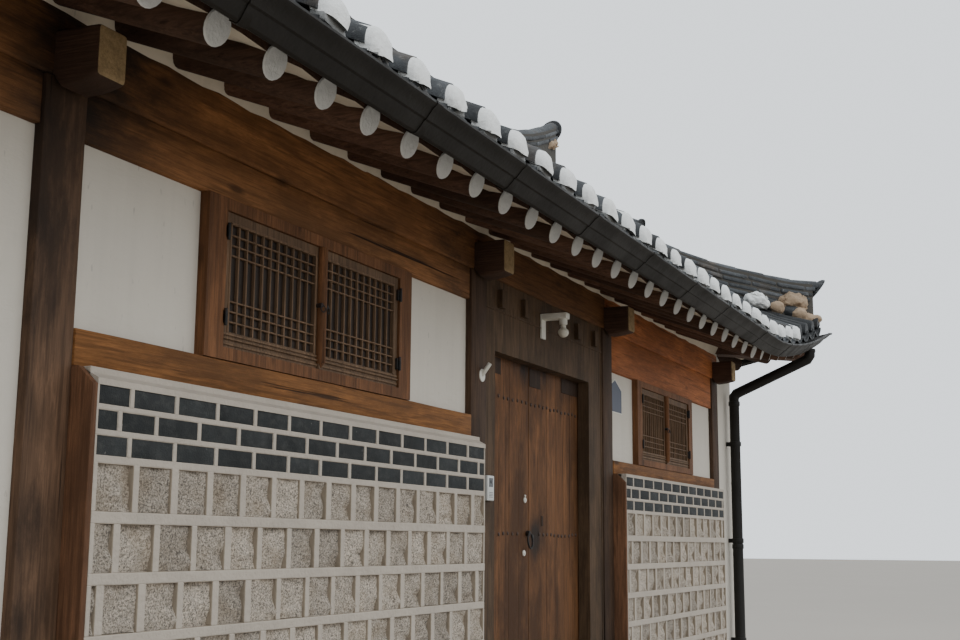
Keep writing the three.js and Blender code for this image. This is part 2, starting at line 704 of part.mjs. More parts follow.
function floorSlab() {
  const end = POST_X[4] - HALF - GAP;
  let body = box(-end, end, -1080 + GAP, 1079, 0, FLOOR_Z);
  for (const x of POST_X.slice(1, 4)) {
    body = body.subtract(box(x - HALF - 1, x + HALF + 1, 1070, 1400, -10, 500));
  }
  return body;
}

// Courtyard side: posts and lintels as one frame, plaster panels between
function backFrame() {
  const pieces = [];
  for (const x of POST_X) pieces.push(box(x - HALF, x + HALF, FRONT - POST, FRONT, 0, BEAM_Z - GAP));
  const [x0, x1] = [POST_X[0], POST_X[4]];
  pieces.push(box(x0, x1, FRONT - 150, FRONT - 12, 2396, BEAM_Z - GAP));
  return join(pieces);
}

function backPanel(i) {
  const [x0, x1] = bay(i);
  const wall = box(x0, x1, PLASTER_FACE - PLASTER, PLASTER_FACE, 0, 2396 - GAP);
  const w = backWindow(i);
  if (!w) return wall;
  return wall.subtract(box(w.x0 + 30, w.x1 - 30, 1000, 1400, w.z0 + 20, w.z1 - 22));
}

function backWindow(i) {
  if (i === 2) return null;
  const mid = (POST_X[i] + POST_X[i + 1]) / 2;
  const w = WINDOWS[3];
  const half = (w.x1 - w.x0) / 2;
  return { ...w, x0: mid - half, x1: mid + half, meet: mid };
}

function build() {
  const group = new THREE.Group();
  const add = (name, solid, colour, roughness = 0.8) => {
    const material = new THREE.MeshStandardMaterial({ color: COLOURS[colour], roughness, metalness: 0 });
    const mesh = new THREE.Mesh(fromSolid(solid), material);
    mesh.name = name;
    group.add(mesh);
  };
  for (let i = 0; i < 5; i++) {
    add(`front_post_${i}`, frontPost(i), 'post');
    add(`crossbeam_${i}`, crossbeam(i), 'beam');
  }
  for (const i of [0, 1, 3]) {
    add(`lintel_${i}`, lintel(i), 'beam');
    add(`front_plaster_${i}`, plasterBay(i), 'plaster');
  }
  for (const i of [1, 3]) {
    add(`sill_${i}`, sill(i), 'sill');
    add(`fire_wall_${i}`, fireWall(i), 'granite');
    add(`end_board_${i}`, endBoard(i), 'board');
    add(`window_frame_${i}`, windowFrame(WINDOWS[i], -1), 'window');
    add(`window_casements_${i}`, casements(WINDOWS[i], -1), 'window');
  }
  add('front_purlin', purlin(-1), 'beam');
  add('back_purlin', purlin(1), 'beam');
  add('ridge_purlin', ridgePurlin(), 'beam');
  add('gate_frame', gateFrame(), 'post');
  add('gate_leaf_left', gateLeaf(-1), 'gate');
  add('gate_leaf_right', gateLeaf(1), 'gate');
  add('gate_step', stoneStep(), 'stone');
  add('floor_slab', floorSlab(), 'floor');
  add('end_wall_left', endWall(-1), 'plaster');
  add('end_wall_right', endWall(1), 'plaster');
  add('back_frame', backFrame(), 'post');
  for (let i = 0; i < 4; i++) {
    add(`back_plaster_${i}`, backPanel(i), 'plaster');
    const w = backWindow(i);
    if (w) add(`back_window_${i}`, join([windowFrame(w, 1), casements(w, 1, -3, -3)]), 'window');
  }
  add('rafters_front', raftersLong(-1), 'rafter');
  add('rafters_back', raftersLong(1), 'rafter');
  add('rafters_left', raftersEnd(-1), 'rafter');
  add('rafters_right', raftersEnd(1), 'rafter');
  add('roof_fill', roofFill(), 'fill');
  add('roof_cover', roofCover(), 'tile');
  const ridge = ridges();
  add('main_ridge', ridge.main, 'ridge');
  for (const [, , name] of CORNERS) add(`corner_ridge_${name}`, ridge[name], 'ridge');
  add('gable_left', gable(-1), 'board');
  add('gable_right', gable(1), 'board');
  add('gutter', gutter(), 'gutter', 0.5);
  add('downpipe', downpipe(), 'gutter', 0.5);
  return group;
}

export default build();
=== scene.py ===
"""Looks of a tiled timber street house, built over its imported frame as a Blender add-on that runs as a script."""

import math
import random

import bpy
import numpy as np
from mathutils import Matrix, Vector, noise


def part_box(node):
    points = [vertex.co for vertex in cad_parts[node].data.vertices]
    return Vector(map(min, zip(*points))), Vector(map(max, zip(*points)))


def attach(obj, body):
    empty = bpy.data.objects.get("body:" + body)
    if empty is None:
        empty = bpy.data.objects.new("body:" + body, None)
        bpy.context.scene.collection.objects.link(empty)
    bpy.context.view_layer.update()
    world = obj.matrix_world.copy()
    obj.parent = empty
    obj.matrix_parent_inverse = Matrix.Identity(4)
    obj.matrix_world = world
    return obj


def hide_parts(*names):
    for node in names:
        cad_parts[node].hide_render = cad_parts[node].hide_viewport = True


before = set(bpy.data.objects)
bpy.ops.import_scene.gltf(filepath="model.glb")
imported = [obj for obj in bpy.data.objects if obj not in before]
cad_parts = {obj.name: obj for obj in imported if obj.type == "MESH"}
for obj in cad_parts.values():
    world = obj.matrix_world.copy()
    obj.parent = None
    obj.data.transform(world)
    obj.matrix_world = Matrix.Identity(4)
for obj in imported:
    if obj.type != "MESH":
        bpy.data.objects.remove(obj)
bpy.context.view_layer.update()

bl_info = {
    "name": "Tiled street house",
    "version": (1, 0, 0),
    "blender": (4, 5, 0),
    "location": "3D View > Sidebar > House",
    "description": "Masonry, roof tiles, rafters, lattices and gate of a tiled timber house",
    "category": "Add Mesh",
}

# Roof lines, in metres: the eave's plan and height, the curve of the slope, the climb to the corners, the gable, the
# tiles' bed, the rafters' ends and line, how far in the eave board and the soffit reach, the soffit's waves (one to a
# rafter), where the rafters begin to fan, how far the rows have lime plugs, and a half tile's length
EAVE_X, EAVE_Y, EAVE_Z = 6.389, 2.115, 2.848
SLOPE, CURVE = 0.4326, 0.1442
CORNER_RISE, RISE_FROM = 0.410, 4.0
GABLE_X, GABLE_FACE = 4.929, 4.969
BARGE_REACH, BARGE_DEPTH = 0.560, 0.150
TILE_BED = 0.080
RAFTER_END = 0.170
RAFTER_LINE, RAFTER_SLOPE = 2.640, 0.39
RAFTER_TOP = 0.060 * math.hypot(1, RAFTER_SLOPE)
BOARD_IN, SOFFIT_OUT = 0.235, 0.168
RAFTER_WAVE = 20.7
FAN_X = 4.4
PLUGGED_X, PLUGGED_Y = 5.1, 1.3
HALF_TILE = 0.30

# Timber frame: the posts' middles, the faces towards the street, and the heights of the beams and purlins
POSTS = (-5.499, -2.616, 0.526, 2.616, 5.499)
STREET_FACE, GATE_FACE = -1.320, -1.3065
BEAM_FOOT, BEAM_TOP = 2.6613, 2.8057
PURLIN_OUTER, PURLIN_INNER = 2.8848, 2.9588
BEAM_END = 1.496

# Fire walls by bay: left, right, top of the bricks, top of the granite, underside of the sill; then the faces of the
# mortar, the stones and the backing, and where the joints of each brick row and stone row start
FIRE_WALLS = {
    1: (-2.495, 0.431, 1.712, 1.467, 1.768),
    3: (2.737, 5.404, 1.680, 1.436, 1.698),
}
FIRE_FACE, STONE_BED, FIRE_BACK = -1.403, -1.389, -1.370
BRICK_JOINTS = ((0.165,), (0.112, 0.296), (0.165,))
STONE_STARTS = (0.205, 0.125, 0.062, 0.168, 0.100, 0.190, 0.050, 0.140)

# Windows: name, opening left and right, bottom and top, side and bar widths, meeting line, side of the house
WINDOWS = (
    ("1", -1.867, -0.268, 1.888, 2.4945, 0.115, 0.046, -1.072, -1),
    ("3", 3.249, 4.710, 1.7885, 2.3955, 0.105, 0.044, 3.975, -1),
    ("back_0", -4.788, -3.327, 1.7885, 2.3955, 0.105, 0.044, -4.062, 1),
    ("back_1", -1.776, -0.315, 1.7885, 2.3955, 0.105, 0.044, -1.050, 1),
    ("back_3", 3.327, 4.788, 1.7885, 2.3955, 0.105, 0.044, 4.053, 1),
)

# Gate leaves: body, left, right, then the visible part of it between the jambs
LEAVES = {
    "left": (0.722, 1.443, 0.767, 1.443),
    "right": (1.449, 2.317, 1.449, 2.272),
}
LEAF_FACE, LEAF_BACK = -1.224, -1.179
LEAF_FOOT, LEAF_TOP = 0.184, 2.287
LEAF_MEET = LEAVES["left"][1] + 0.003
STUD_ROWS, RING_ROW = (0.525, 1.283, 2.045), 1
BATTENS, BATTEN_BACK = (0.480, 1.230, 1.980), -1.139

# Oily patches on the leaves (left, right, bottom, top) and locks on the left one (across, height, radius)
PATCHES = {
    "left": ((0.772, 1.030, 2.170, 2.262),),
    "right": ((1.456, 1.631, 2.150, 2.262), (1.985, 2.270, 2.170, 2.262), (1.640, 1.672, 1.335, 1.395)),
}
LOCKS = ((1.385, 1.480, 0.016), (1.370, 1.178, 0.017))


# Camera: where the eye stands, its turn from the wall, tip and lean in degrees, and its lens and sensor in millimetres
EYE, EYE_ANGLES = (-5.644, -4.129, 1.230), (24.45, 9.76, 0.38)
LENS, SENSOR = 48.75, 36

# Studio lights: name, place, size and power
LIGHTS = (("sky_panel", (-6, -13, 11), 14, 450), ("end_panel", (15, -7, 9), 10, 150))
SKY, SKY_STRENGTH = "#dfe5ea", 1.85


def linear(code):
    """An sRGB hex colour as the linear colour that Blender works in."""
    parts = [int(code[i : i + 2], 16) / 255 for i in (1, 3, 5)]
    return (*[c / 12.92 if c <= 0.04045 else ((c + 0.055) / 1.055) ** 2.4 for c in parts], 1.0)


def length(name, default, description):
    return bpy.props.FloatProperty(
        name=name, description=description, default=default, min=0.0005, unit="LENGTH", precision=4
    )


def colour(name, code, description):
    return bpy.props.FloatVectorProperty(
        name=name, description=description, default=linear(code), subtype="COLOR", size=4, min=0, max=1
    )


class HouseSizes(bpy.types.PropertyGroup):
    """Sizes of the parts that repeat over the house."""

    row_pitch: length("Tile row pitch", 0.2935, "Distance between two rows of cover tiles")
    cover_length: length("Cover tile length", 0.285, "Length of a round cover tile that shows")
    cover_radius: length("Cover tile radius", 0.074, "Outer radius of a round cover tile")
    pan_step: length("Pan tile step", 0.142, "Length of a pan tile that shows")
    pan_sag: length("Pan tile sag", 0.046, "Depth of the hollow of a pan tile")
    plug_width: length("Lime plug width", 0.132, "Width of the lime plug in the end of a tile row")
    ridge_layer: length("Ridge layer", 0.051, "Height of one layer of flat ridge tiles with its joint")
    rafter_radius: length("Rafter radius", 0.060, "Radius of a round rafter")
    rafter_pitch: length("Rafter pitch", 0.3035, "Distance between two rafters")
    brick_length: length("Brick pitch", 0.232, "Distance between two upright brick joints")
    brick_height: length("Brick height", 0.061, "Height of a brick face")
    brick_row: length("Brick row", 0.0794, "Distance between two brick rows")
    stone_pitch: length("Stone pitch", 0.198, "Distance between two upright stone joints")
    stone_row: length("Stone row", 0.186, "Distance between two rows of stones")
    joint: length("Raised joint", 0.040, "Width of the raised mortar between stones")
    lattice_bar: length("Lattice bar", 0.0078, "Width of a window lattice bar")
    plank: length("Gate plank", 0.137, "Width of a plank of the gate leaves")
    stud: length("Gate stud", 0.011, "Radius of a stud of the gate leaves")


class HouseColours(bpy.types.PropertyGroup):
    """Colours of the finishes."""

    plaster: colour("Wall plaster", "#cdc5b8", "Lime plaster of the walls")
    soffit: colour("Soffit plaster", "#d6cbb8", "Lime plaster between the rafters")
    mortar: colour("Pointing mortar", "#b5aa9c", "Raised joints of the fire walls")
    granite: colour("Granite", "#b6aa9b", "Rough granite of the fire walls")
    brick: colour("Black brick", "#2f3131", "Black bricks of the fire walls")
    tile: colour("Roof tile", "#414345", "Smoked clay of the roof tiles")
    lime: colour("Lime plugs", "#e8e8e5", "White lime in the ends of the tile rows")
    clay: colour("Ridge mortar", "#a58e75", "Tan clay mortar under the ridges")
    beam: colour("Beam", "#986840", "Oiled pine of the beams")
    post: colour("Post", "#745843", "Weathered pine of the posts")
    sill: colour("Sill", "#8a5c33", "Oiled pine of the sills")
    gate: colour("Gate", "#7a5232", "Planks of the gate")
    jamb: colour("Gate frame", "#5e4935", "Frame of the gate")
    window: colour("Window frame", "#7d5436", "Frames of the windows")
    casement: colour("Casement", "#705843", "Casements and lattices of the windows")
    oiled: colour("Oiled beam", "#b26c3e", "Beams of the bay beyond the gate")
    board: colour("End board", "#76523a", "Boards at the ends of the fire walls")
    rafter: colour("Rafter", "#634a3c", "Round rafters and hip rafters")
    gutter: colour("Gutter", "#1a1713", "Painted metal of the gutter")


def sizes():
    return bpy.context.scene.house_sizes


# Modelling by hand: each of these leaves its piece selected, alone and in object mode


def clear():
    """Leaves edit mode and deselects everything, so that the next operator acts on its own piece alone."""
    if bpy.context.object and bpy.context.object.mode != "OBJECT":
        bpy.ops.object.mode_set(mode="OBJECT")
    bpy.ops.object.select_all(action="DESELECT")


def pick(piece):
    clear()
    piece.select_set(True)
    bpy.context.view_layer.objects.active = piece
    return piece


def settle(piece, name=None):
    """Puts a piece's place, turn and size into its mesh."""
    pick(piece)
    bpy.ops.object.transform_apply(location=True, rotation=True, scale=True)
    if name:
        piece.name = piece.data.name = name
    return piece


def open_faces(piece, test=None):
    """Opens a piece for editing with the faces selected whose centre and normal pass a test, or with all of them."""
    pick(piece)
    bpy.ops.object.mode_set(mode="EDIT")
    bpy.ops.mesh.select_mode(type="FACE")
    bpy.ops.mesh.select_all(action="SELECT" if test is None else "DESELECT")
    if test is not None:
        bpy.ops.object.mode_set(mode="OBJECT")
        for face in piece.data.polygons:
            face.select = test(face.center, face.normal)
        bpy.ops.object.mode_set(mode="EDIT")


def shut():
    bpy.ops.object.mode_set(mode="OBJECT")


def eased(piece, offset, steps=2, test=None, **more):
    """Eases the arrises of the faces that pass a test."""
    open_faces(piece, test)
    bpy.ops.mesh.bevel(offset=offset, segments=steps, affect="EDGES", **more)
    shut()
    return piece


def facing_out(piece):
    """Turns all the faces outwards."""
    open_faces(piece)
    bpy.ops.mesh.normals_make_consistent(inside=False)
    shut()
    return piece


def block(name, low, high, ease=0.0, steps=1):
    """A squared piece between two corners, with its arrises eased."""
    clear()
    low, high = Vector(low), Vector(high)
    bpy.ops.mesh.primitive_cube_add(size=1, location=(low + high) / 2)
    piece = bpy.context.object
    piece.scale = high - low
    settle(piece, name)
    return eased(piece, ease, steps) if ease else piece


def round_bar(name, radius, low, high, sides=16, ease=0.0):
    """A round bar from one point to another, with its rims eased."""
    clear()
    low, high = Vector(low), Vector(high)
    turn = (high - low).to_track_quat("Z", "Y").to_euler()
    bpy.ops.mesh.primitive_cylinder_add(
        vertices=sides, radius=radius, depth=(high - low).length, location=(low + high) / 2, rotation=turn
    )
    piece = settle(bpy.context.object, name)
    if ease:
        axis = (high - low).normalized()
        eased(piece, ease, 2, lambda centre, normal: abs(normal.dot(axis)) > 0.9)
    return piece


def drawn(name, points, along, steps=1):
    """A section drawn point by point as a line, closed to a face and drawn out along a line in equal steps."""
    clear()
    points = [Vector(p) for p in points]
    bpy.ops.mesh.primitive_plane_add(size=0.01, location=points[0])
    piece = settle(bpy.context.object, name)
    bpy.ops.object.mode_set(mode="EDIT")
    bpy.ops.mesh.select_mode(type="VERT")
    bpy.ops.mesh.select_all(action="SELECT")
    bpy.ops.mesh.merge(type="CENTER")
    for a, b in zip(points, points[1:]):
        bpy.ops.mesh.extrude_vertices_move(TRANSFORM_OT_translate={"value": b - a})
    bpy.ops.mesh.select_all(action="SELECT")
    bpy.ops.mesh.edge_face_add()
    for _ in range(steps):
        bpy.ops.mesh.extrude_region_move(TRANSFORM_OT_translate={"value": Vector(along) / steps})
    bpy.ops.mesh.select_all(action="SELECT")
    bpy.ops.mesh.normals_make_consistent(inside=False)
    shut()
    return piece


def cut_across(piece, axis, count, low, high):
    """Cuts even loops across a piece, so that it can bend or wander along its length."""
    open_faces(piece)
    for i in range(1, count):
        at, normal = [0, 0, 0], [0, 0, 0]
        at[axis], normal[axis] = low + (high - low) * i / count, 1
        bpy.ops.mesh.select_all(action="SELECT")
        bpy.ops.mesh.bisect(plane_co=at, plane_no=normal)
    shut()
    return piece


def bent(piece, rule):
    """Bends a piece that was made straight onto its line or surface."""
    place = np.empty(len(piece.data.vertices) * 3)
    piece.data.vertices.foreach_get("co", place)
    piece.data.vertices.foreach_set("co", np.ascontiguousarray(rule(place.reshape(-1, 3).copy())).ravel())
    piece.data.update()
    return piece


def roughened(piece, grain, depth, test=None, seed=0):
    """Moves the surface in and out by noise of a given grain, where a test on the place passes."""
    shift = Vector((seed * 7.3, seed * 3.1, seed * 5.7))
    for vertex in piece.data.vertices:
        if test is None or test(vertex.co):
            vertex.co += vertex.normal * depth * noise.noise(vertex.co / grain + shift)
    piece.data.update()
    return piece


def smooth(piece, degrees=35):
    pick(piece)
    bpy.ops.object.shade_smooth_by_angle(angle=math.radians(degrees))
    return piece


def joined(name, pieces):
    clear()
    for piece in pieces:
        piece.select_set(True)
    bpy.context.view_layer.objects.active = pieces[0]
    if len(pieces) > 1:
        bpy.ops.object.join()
    pieces[0].name = pieces[0].data.name = name
    return pieces[0]


def copied(pattern, place, tone=0.0):
    """A copy of a modelled piece with a mesh of its own, put in its place, with its own shade of the finish."""
    twin = pattern.copy()
    twin.data = pattern.data.copy()
    twin.data.transform(place)
    if place.determinant() < 0:
        twin.data.flip_normals()
    shade = twin.data.attributes.get("tone") or twin.data.attributes.new("tone", "FLOAT", "POINT")
    shade.data.foreach_set("value", [tone] * len(twin.data.vertices))
    bpy.context.collection.objects.link(twin)
    return twin


def discard(*patterns):
    for pattern in patterns:
        bpy.data.objects.remove(pattern)


def mirrored(piece, axis, name):
    twin = piece.copy()
    twin.data = piece.data.copy()
    twin.data.transform(Matrix.Scale(-1, 4, Vector([float(i == axis) for i in range(3)])))
    twin.data.flip_normals()
    bpy.context.collection.objects.link(twin)
    twin.name = twin.data.name = name
    return twin


def painted(piece, *finishes):
    for finish in finishes:
        piece.data.materials.append(finish_of(finish))
    return piece


def coated(piece, finish, second, test):
    """Gives a piece two finishes, the second on the faces that pass a test."""
    painted(piece, finish, second)
    for face in piece.data.polygons:
        face.material_index = 1 if test(face) else 0
    return piece


def done(piece, body, finish=None, replaces=()):
    """Gives a finished piece its body and its finish, and hides the frame nodes that it stands for."""
    if finish:
        painted(piece, finish)
    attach(piece, body)
    if replaces:
        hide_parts(*replaces)
    return piece


def assembled(name, parts, degrees, finish, body="house", replaces=()):
    """Joins the parts of a piece, smooths it and finishes it."""
    return done(smooth(joined(name, parts), degrees), body, finish, replaces)


def boss(radius, x, z, back, front, sides=16, ease=0.0):
    """A round part that stands square out of the street front, between two depths."""
    return round_bar("boss", radius, (x, back, z), (x, front, z), sides, ease)


def pull_ring(radius, thick, place, lean, swing, sides):
    """A ring that hangs a little off the wood."""
    clear()
    bpy.ops.mesh.primitive_torus_add(major_radius=radius, minor_radius=thick, major_segments=sides[0],
                                     minor_segments=sides[1], location=place,
                                     rotation=(math.pi / 2 - lean, 0, swing))
    return smooth(settle(bpy.context.object, "ring"), 60)


# Finishes


def shaded(shade, factor):
    """A colour made lighter or darker."""
    return (*[min(1.0, c * factor) for c in shade[:3]], 1.0)


class Finish:
    """A material that is built up coat by coat over one colour, from patterns of a real size in metres."""

    def __init__(self, name, shade, start=1.0):
        self.material = bpy.data.materials.new(name)
        self.material.use_nodes = True
        self.material.node_tree.nodes.clear()
        self.place = self.add("ShaderNodeTexCoord").outputs["Object"]
        self.shade = shade
        self.base = self.tint(start)

    def add(self, kind, links=None, **settings):
        """Adds a node with its settings; links gives each socket a value or another node's output."""
        tree = self.material.node_tree
        node = tree.nodes.new(kind)
        for key, value in settings.items():
            setattr(node, key, value)
        for socket, value in (links or {}).items():
            if isinstance(value, bpy.types.NodeSocket):
                tree.links.new(value, node.inputs[socket])
            else:
                node.inputs[socket].default_value = value
        return node

    def tint(self, tint):
        """A number is a share of the finish's own colour, and a hex code is a colour of its own."""
        return linear(tint) if isinstance(tint, str) else shaded(self.shade, tint)

    def pattern(self, size, low, high, stretch=(1, 1, 1), detail=3.0, rough=0.6):
        """Noise of a real size, its values from low to high spread to the whole range from 0 to 1."""
        scale = [s / size for s in stretch]
        spot = self.add("ShaderNodeMapping", {"Vector": self.place, "Scale": scale}).outputs["Vector"]
        grain = self.add("ShaderNodeTexNoise", {"Vector": spot, "Scale": 1.0, "Detail": detail, "Roughness": rough})
        spread = {"Value": grain.outputs["Fac"], "From Min": low, "From Max": high}
        return self.add("ShaderNodeMapRange", spread).outputs["Result"]

    def coat(self, share, strength, tint, most=1.0):
        """Lays one more coat over those below, as dense as its pattern and no denser than most."""
        held = self.add("ShaderNodeMath", {0: share, 1: strength}, operation="MULTIPLY").outputs["Value"]
        if most < 1.0:
            held = self.add("ShaderNodeMath", {0: held, 1: most}, operation="MINIMUM").outputs["Value"]
        mix = self.add("ShaderNodeMixRGB", {"Fac": held, "Color1": self.base, "Color2": self.tint(tint)})
        self.base = mix.outputs["Color"]

    def mottled(self, strength, tint, *pattern):
        """Lays a coat of noise, with its size, range, stretch, detail and roughness as for a pattern."""
        self.coat(self.pattern(*pattern), strength, tint)

    def toned(self, reach):
        """Makes each repeated piece a little lighter or darker than the next."""
        own = self.add("ShaderNodeAttribute", attribute_name="tone").outputs["Fac"]
        value = self.add("ShaderNodeMath", {0: own, 1: reach, 2: 1.0}, operation="MULTIPLY_ADD").outputs["Value"]
        self.base = self.add("ShaderNodeHueSaturation", {"Color": self.base, "Value": value}).outputs["Color"]

    def end(self, roughness, relief, depth, **shader):
        """Ends the finish with its roughness, and a relief of a real depth in metres."""
        bump = self.add("ShaderNodeBump", {"Height": relief, "Strength": 1.0, "Distance": depth})
        links = {"Base Color": self.base, "Roughness": roughness, "Normal": bump.outputs["Normal"]}
        links.update({key.replace("_", " "): value for key, value in shader.items()})
        surface = self.add("ShaderNodeBsdfPrincipled", links)
        self.add("ShaderNodeOutputMaterial", {"Surface": surface.outputs["BSDF"]})
        return self.material


def timber_finish(name, shade, along, weather=0.5, dark=0.30, checks=1.0, knots=0.6, sooty=None, stains=()):
    """Sawn pine: long grain and dark streaks along the piece, sooty weathered patches with ragged edges, oval knots,
    drying checks that follow the grain, damp dirt or soot that gathers from one height to another, and dark patches
    round given places (each a place and a reach): where hands or rust stained the wood, and on the gate also
    painted shadow along the top of the leaves under the header."""
    pine = Finish(name, shade, 0.50)

    def grain(size, share, detail, low, high, rough=0.6):
        run = [1.0, 1.0, 1.0]
        run[along] = share
        return pine.pattern(size, low, high, run, detail, rough)

    fine = grain(0.007, 0.04, 5.0, 0.3, 0.7, 0.7)
    patch = grain(0.28, 0.34, 8.0, 0.45, 0.60, 0.72)
    pine.coat(fine, 1.0, 1.35)
    pine.coat(grain(0.050, 0.12, 3.0, 0.35, 0.65), 0.55, 0.60)
    pine.coat(grain(0.13, 0.22, 8.0, 0.56, 0.66, 0.76), 0.45, 1.75)
    pine.coat(grain(0.018, 0.05, 3.0, 0.50, 0.64), 0.55, 0.28)
    pine.coat(patch, weather, dark)
    apart = [1 / 0.13] * 3
    apart[along] = 1 / 0.42
    spot = pine.add("ShaderNodeMapping", {"Vector": pine.place, "Scale": apart}).outputs["Vector"]
    cells = pine.add("ShaderNodeTexVoronoi", {"Vector": spot, "Scale": 1.0}).outputs["Distance"]
    knot = pine.add("ShaderNodeMapRange", {"Value": cells, "From Min": 0.17, "From Max": 0.07})
    pine.coat(knot.outputs["Result"], knots, 0.22)
    if sooty:
        height = pine.add("ShaderNodeSeparateXYZ", {"Vector": pine.place}).outputs["Z"]
        low = pine.add("ShaderNodeMapRange", {"Value": height, "From Min": sooty[0], "From Max": sooty[1]})
        ragged = pine.add("ShaderNodeMath", {0: patch, 1: 0.6}, operation="ADD").outputs["Value"]
        damp = pine.add("ShaderNodeMath", {0: low.outputs["Result"], 1: ragged}, operation="MULTIPLY")
        pine.coat(damp.outputs["Value"], 0.8, 0.28, 0.85)
    for centre, reach in stains:
        away = pine.add("ShaderNodeVectorMath", {0: pine.place, 1: centre}, operation="DISTANCE").outputs["Value"]
        near = pine.add("ShaderNodeMapRange", {"Value": away, "From Min": reach, "From Max": reach * 0.35})
        ragged = pine.add("ShaderNodeMath", {0: patch, 1: 0.45, 2: 0.5}, operation="MULTIPLY_ADD").outputs["Value"]
        held = pine.add("ShaderNodeMath", {0: near.outputs["Result"], 1: ragged}, operation="MULTIPLY")
        pine.coat(held.outputs["Value"], 1.0, "#241d18", 0.9)
    pine.toned(0.5)
    check = grain(0.030, 0.012, 3.0, 0.345, 0.315)
    gap = pine.add("ShaderNodeMath", {0: check, 1: 0.8 * checks}, operation="MULTIPLY").outputs["Value"]
    pine.coat(gap, 1.0, 0.08)
    ridged = pine.add("ShaderNodeMath", {0: fine, 1: 0.3}, operation="MULTIPLY").outputs["Value"]
    relief = pine.add("ShaderNodeMath", {0: ridged, 1: gap}, operation="SUBTRACT").outputs["Value"]
    return pine.end(0.74, relief, 0.0028, Specular_IOR_Level=0.2)


def end_grain_finish(name, shade, along, ends, pale):
    """A beam whose sawn end is paler than its sides, with rings that show there."""
    beam = Finish(name, shade, 0.6)
    run = [1.0, 1.0, 1.0]
    run[along] = 0.035
    fine = beam.pattern(0.009, 0.3, 0.7, run, 4.0, 0.65)
    beam.coat(fine, 1.0, 1.15)
    beam.mottled(0.7, 0.35, 0.30, 0.40, 0.66)
    side, beam.shade = beam.base, linear(pale)
    beam.base = beam.tint(0.72)
    beam.mottled(1.0, 1.12, 0.012, 0.3, 0.7, (1, 0.2, 1), 4.0, 0.7)
    beam.mottled(0.6, 0.35, 0.05, 0.40, 0.70, (1, 0.2, 1))
    spot = beam.add("ShaderNodeSeparateXYZ", {"Vector": beam.place}).outputs[along]
    reach = beam.add("ShaderNodeMath", {0: spot}, operation="ABSOLUTE").outputs["Value"]
    sawn = beam.add("ShaderNodeMath", {0: reach, 1: ends}, operation="GREATER_THAN").outputs["Value"]
    ended = beam.add("ShaderNodeMixRGB", {"Fac": sawn, "Color1": side, "Color2": beam.base})
    beam.base = ended.outputs["Color"]
    return beam.end(0.78, fine, 0.0018, Specular_IOR_Level=0.22)


def plaster_finish(name, shade, grime=0.35):
    """Lime plaster, trowelled flat: nearly even, with faint clouds, thin rain streaks and a few scuffs."""
    plaster = Finish(name, shade)
    plaster.mottled(grime, 0.80, 0.55, 0.35, 0.75, (1, 1, 0.7), 4.0)
    plaster.mottled(grime * 0.5, 0.72, 0.05, 0.45, 0.80, (1, 1, 0.05), 2.0, 0.5)
    plaster.mottled(0.5, 0.55, 0.020, 0.70, 0.76, (1, 1, 0.3), 2.0, 0.5)
    trowel = plaster.pattern(0.09, 0.3, 0.7, (1, 1, 2.5), 5.0)
    return plaster.end(0.90, trowel, 0.0014, Specular_IOR_Level=0.3)


def granite_finish(name, shade):
    """Pitched granite: pale feldspar with black mica flecks 2 to 6 mm across, so it looks salt-and-pepper, a few rusty
    clouds, and grains that stand out of the broken face."""
    granite = Finish(name, shade)
    granite.mottled(1.0, 0.45, 0.0060, 0.50, 0.44, (1, 1, 1), 2.0)
    granite.mottled(1.0, 0.34, 0.014, 0.44, 0.36, (1, 1, 1), 3.0, 0.7)
    granite.mottled(0.75, 1.50, 0.0075, 0.52, 0.60, (1, 1.3, 1), 2.0)
    granite.mottled(0.32, "#8a7352", 0.16, 0.50, 0.72)
    granite.toned(0.22)
    grains = granite.pattern(0.010, 0.25, 0.75, (1, 1, 1), 5.0, 0.75)
    return granite.end(0.88, grains, 0.006, Specular_IOR_Level=0.3)


def mortar_finish(name, shade, grit=0.003, stain=0.5):
    """Pointing mortar, struck with a flat iron: sandy and matt, a little darker where it stays damp."""
    mortar = Finish(name, shade)
    mortar.mottled(stain, 0.74, 0.20, 0.40, 0.72, (1, 1, 1), 4.0)
    mortar.mottled(0.22, 0.70, grit, 0.3, 0.7, (1, 1, 1), 2.0)
    return mortar.end(0.9, mortar.pattern(0.035, 0.3, 0.7), 0.003)


def brick_finish(name, shade):
    """Smoked black brick: dense and near black, with pale splashes of lime left from the pointing."""
    brick = Finish(name, shade, 0.72)
    brick.mottled(1.0, 1.15, 0.09, 0.35, 0.70, (1, 1, 1), 4.0)
    brick.mottled(0.20, "#77746e", 0.05, 0.48, 0.80, (1, 1, 1.5), 4.0, 0.7)
    brick.mottled(0.80, "#a7a49e", 0.028, 0.66, 0.74, (1, 1, 0.6), 5.0, 0.75)
    brick.toned(0.25)
    return brick.end(0.8, brick.pattern(0.006, 0.3, 0.7), 0.0012, Specular_IOR_Level=0.25)


def tile_finish(name, shade):
    """Smoked clay tile: slate grey, brownish where the smoke missed it, with grey lichen in the weather."""
    clay = Finish(name, shade, 0.62)
    clay.mottled(1.0, 1.35, 0.16, 0.35, 0.68, (1, 1, 1), 4.0)
    clay.mottled(0.65, "#5d4c38", 0.24, 0.55, 0.80)
    clay.mottled(0.45, "#8b8b87", 0.03, 0.58, 0.70, (1, 1, 1), 5.0, 0.75)
    clay.toned(0.55)
    return clay.end(0.66, clay.pattern(0.008, 0.3, 0.7), 0.0014, Specular_IOR_Level=0.3)


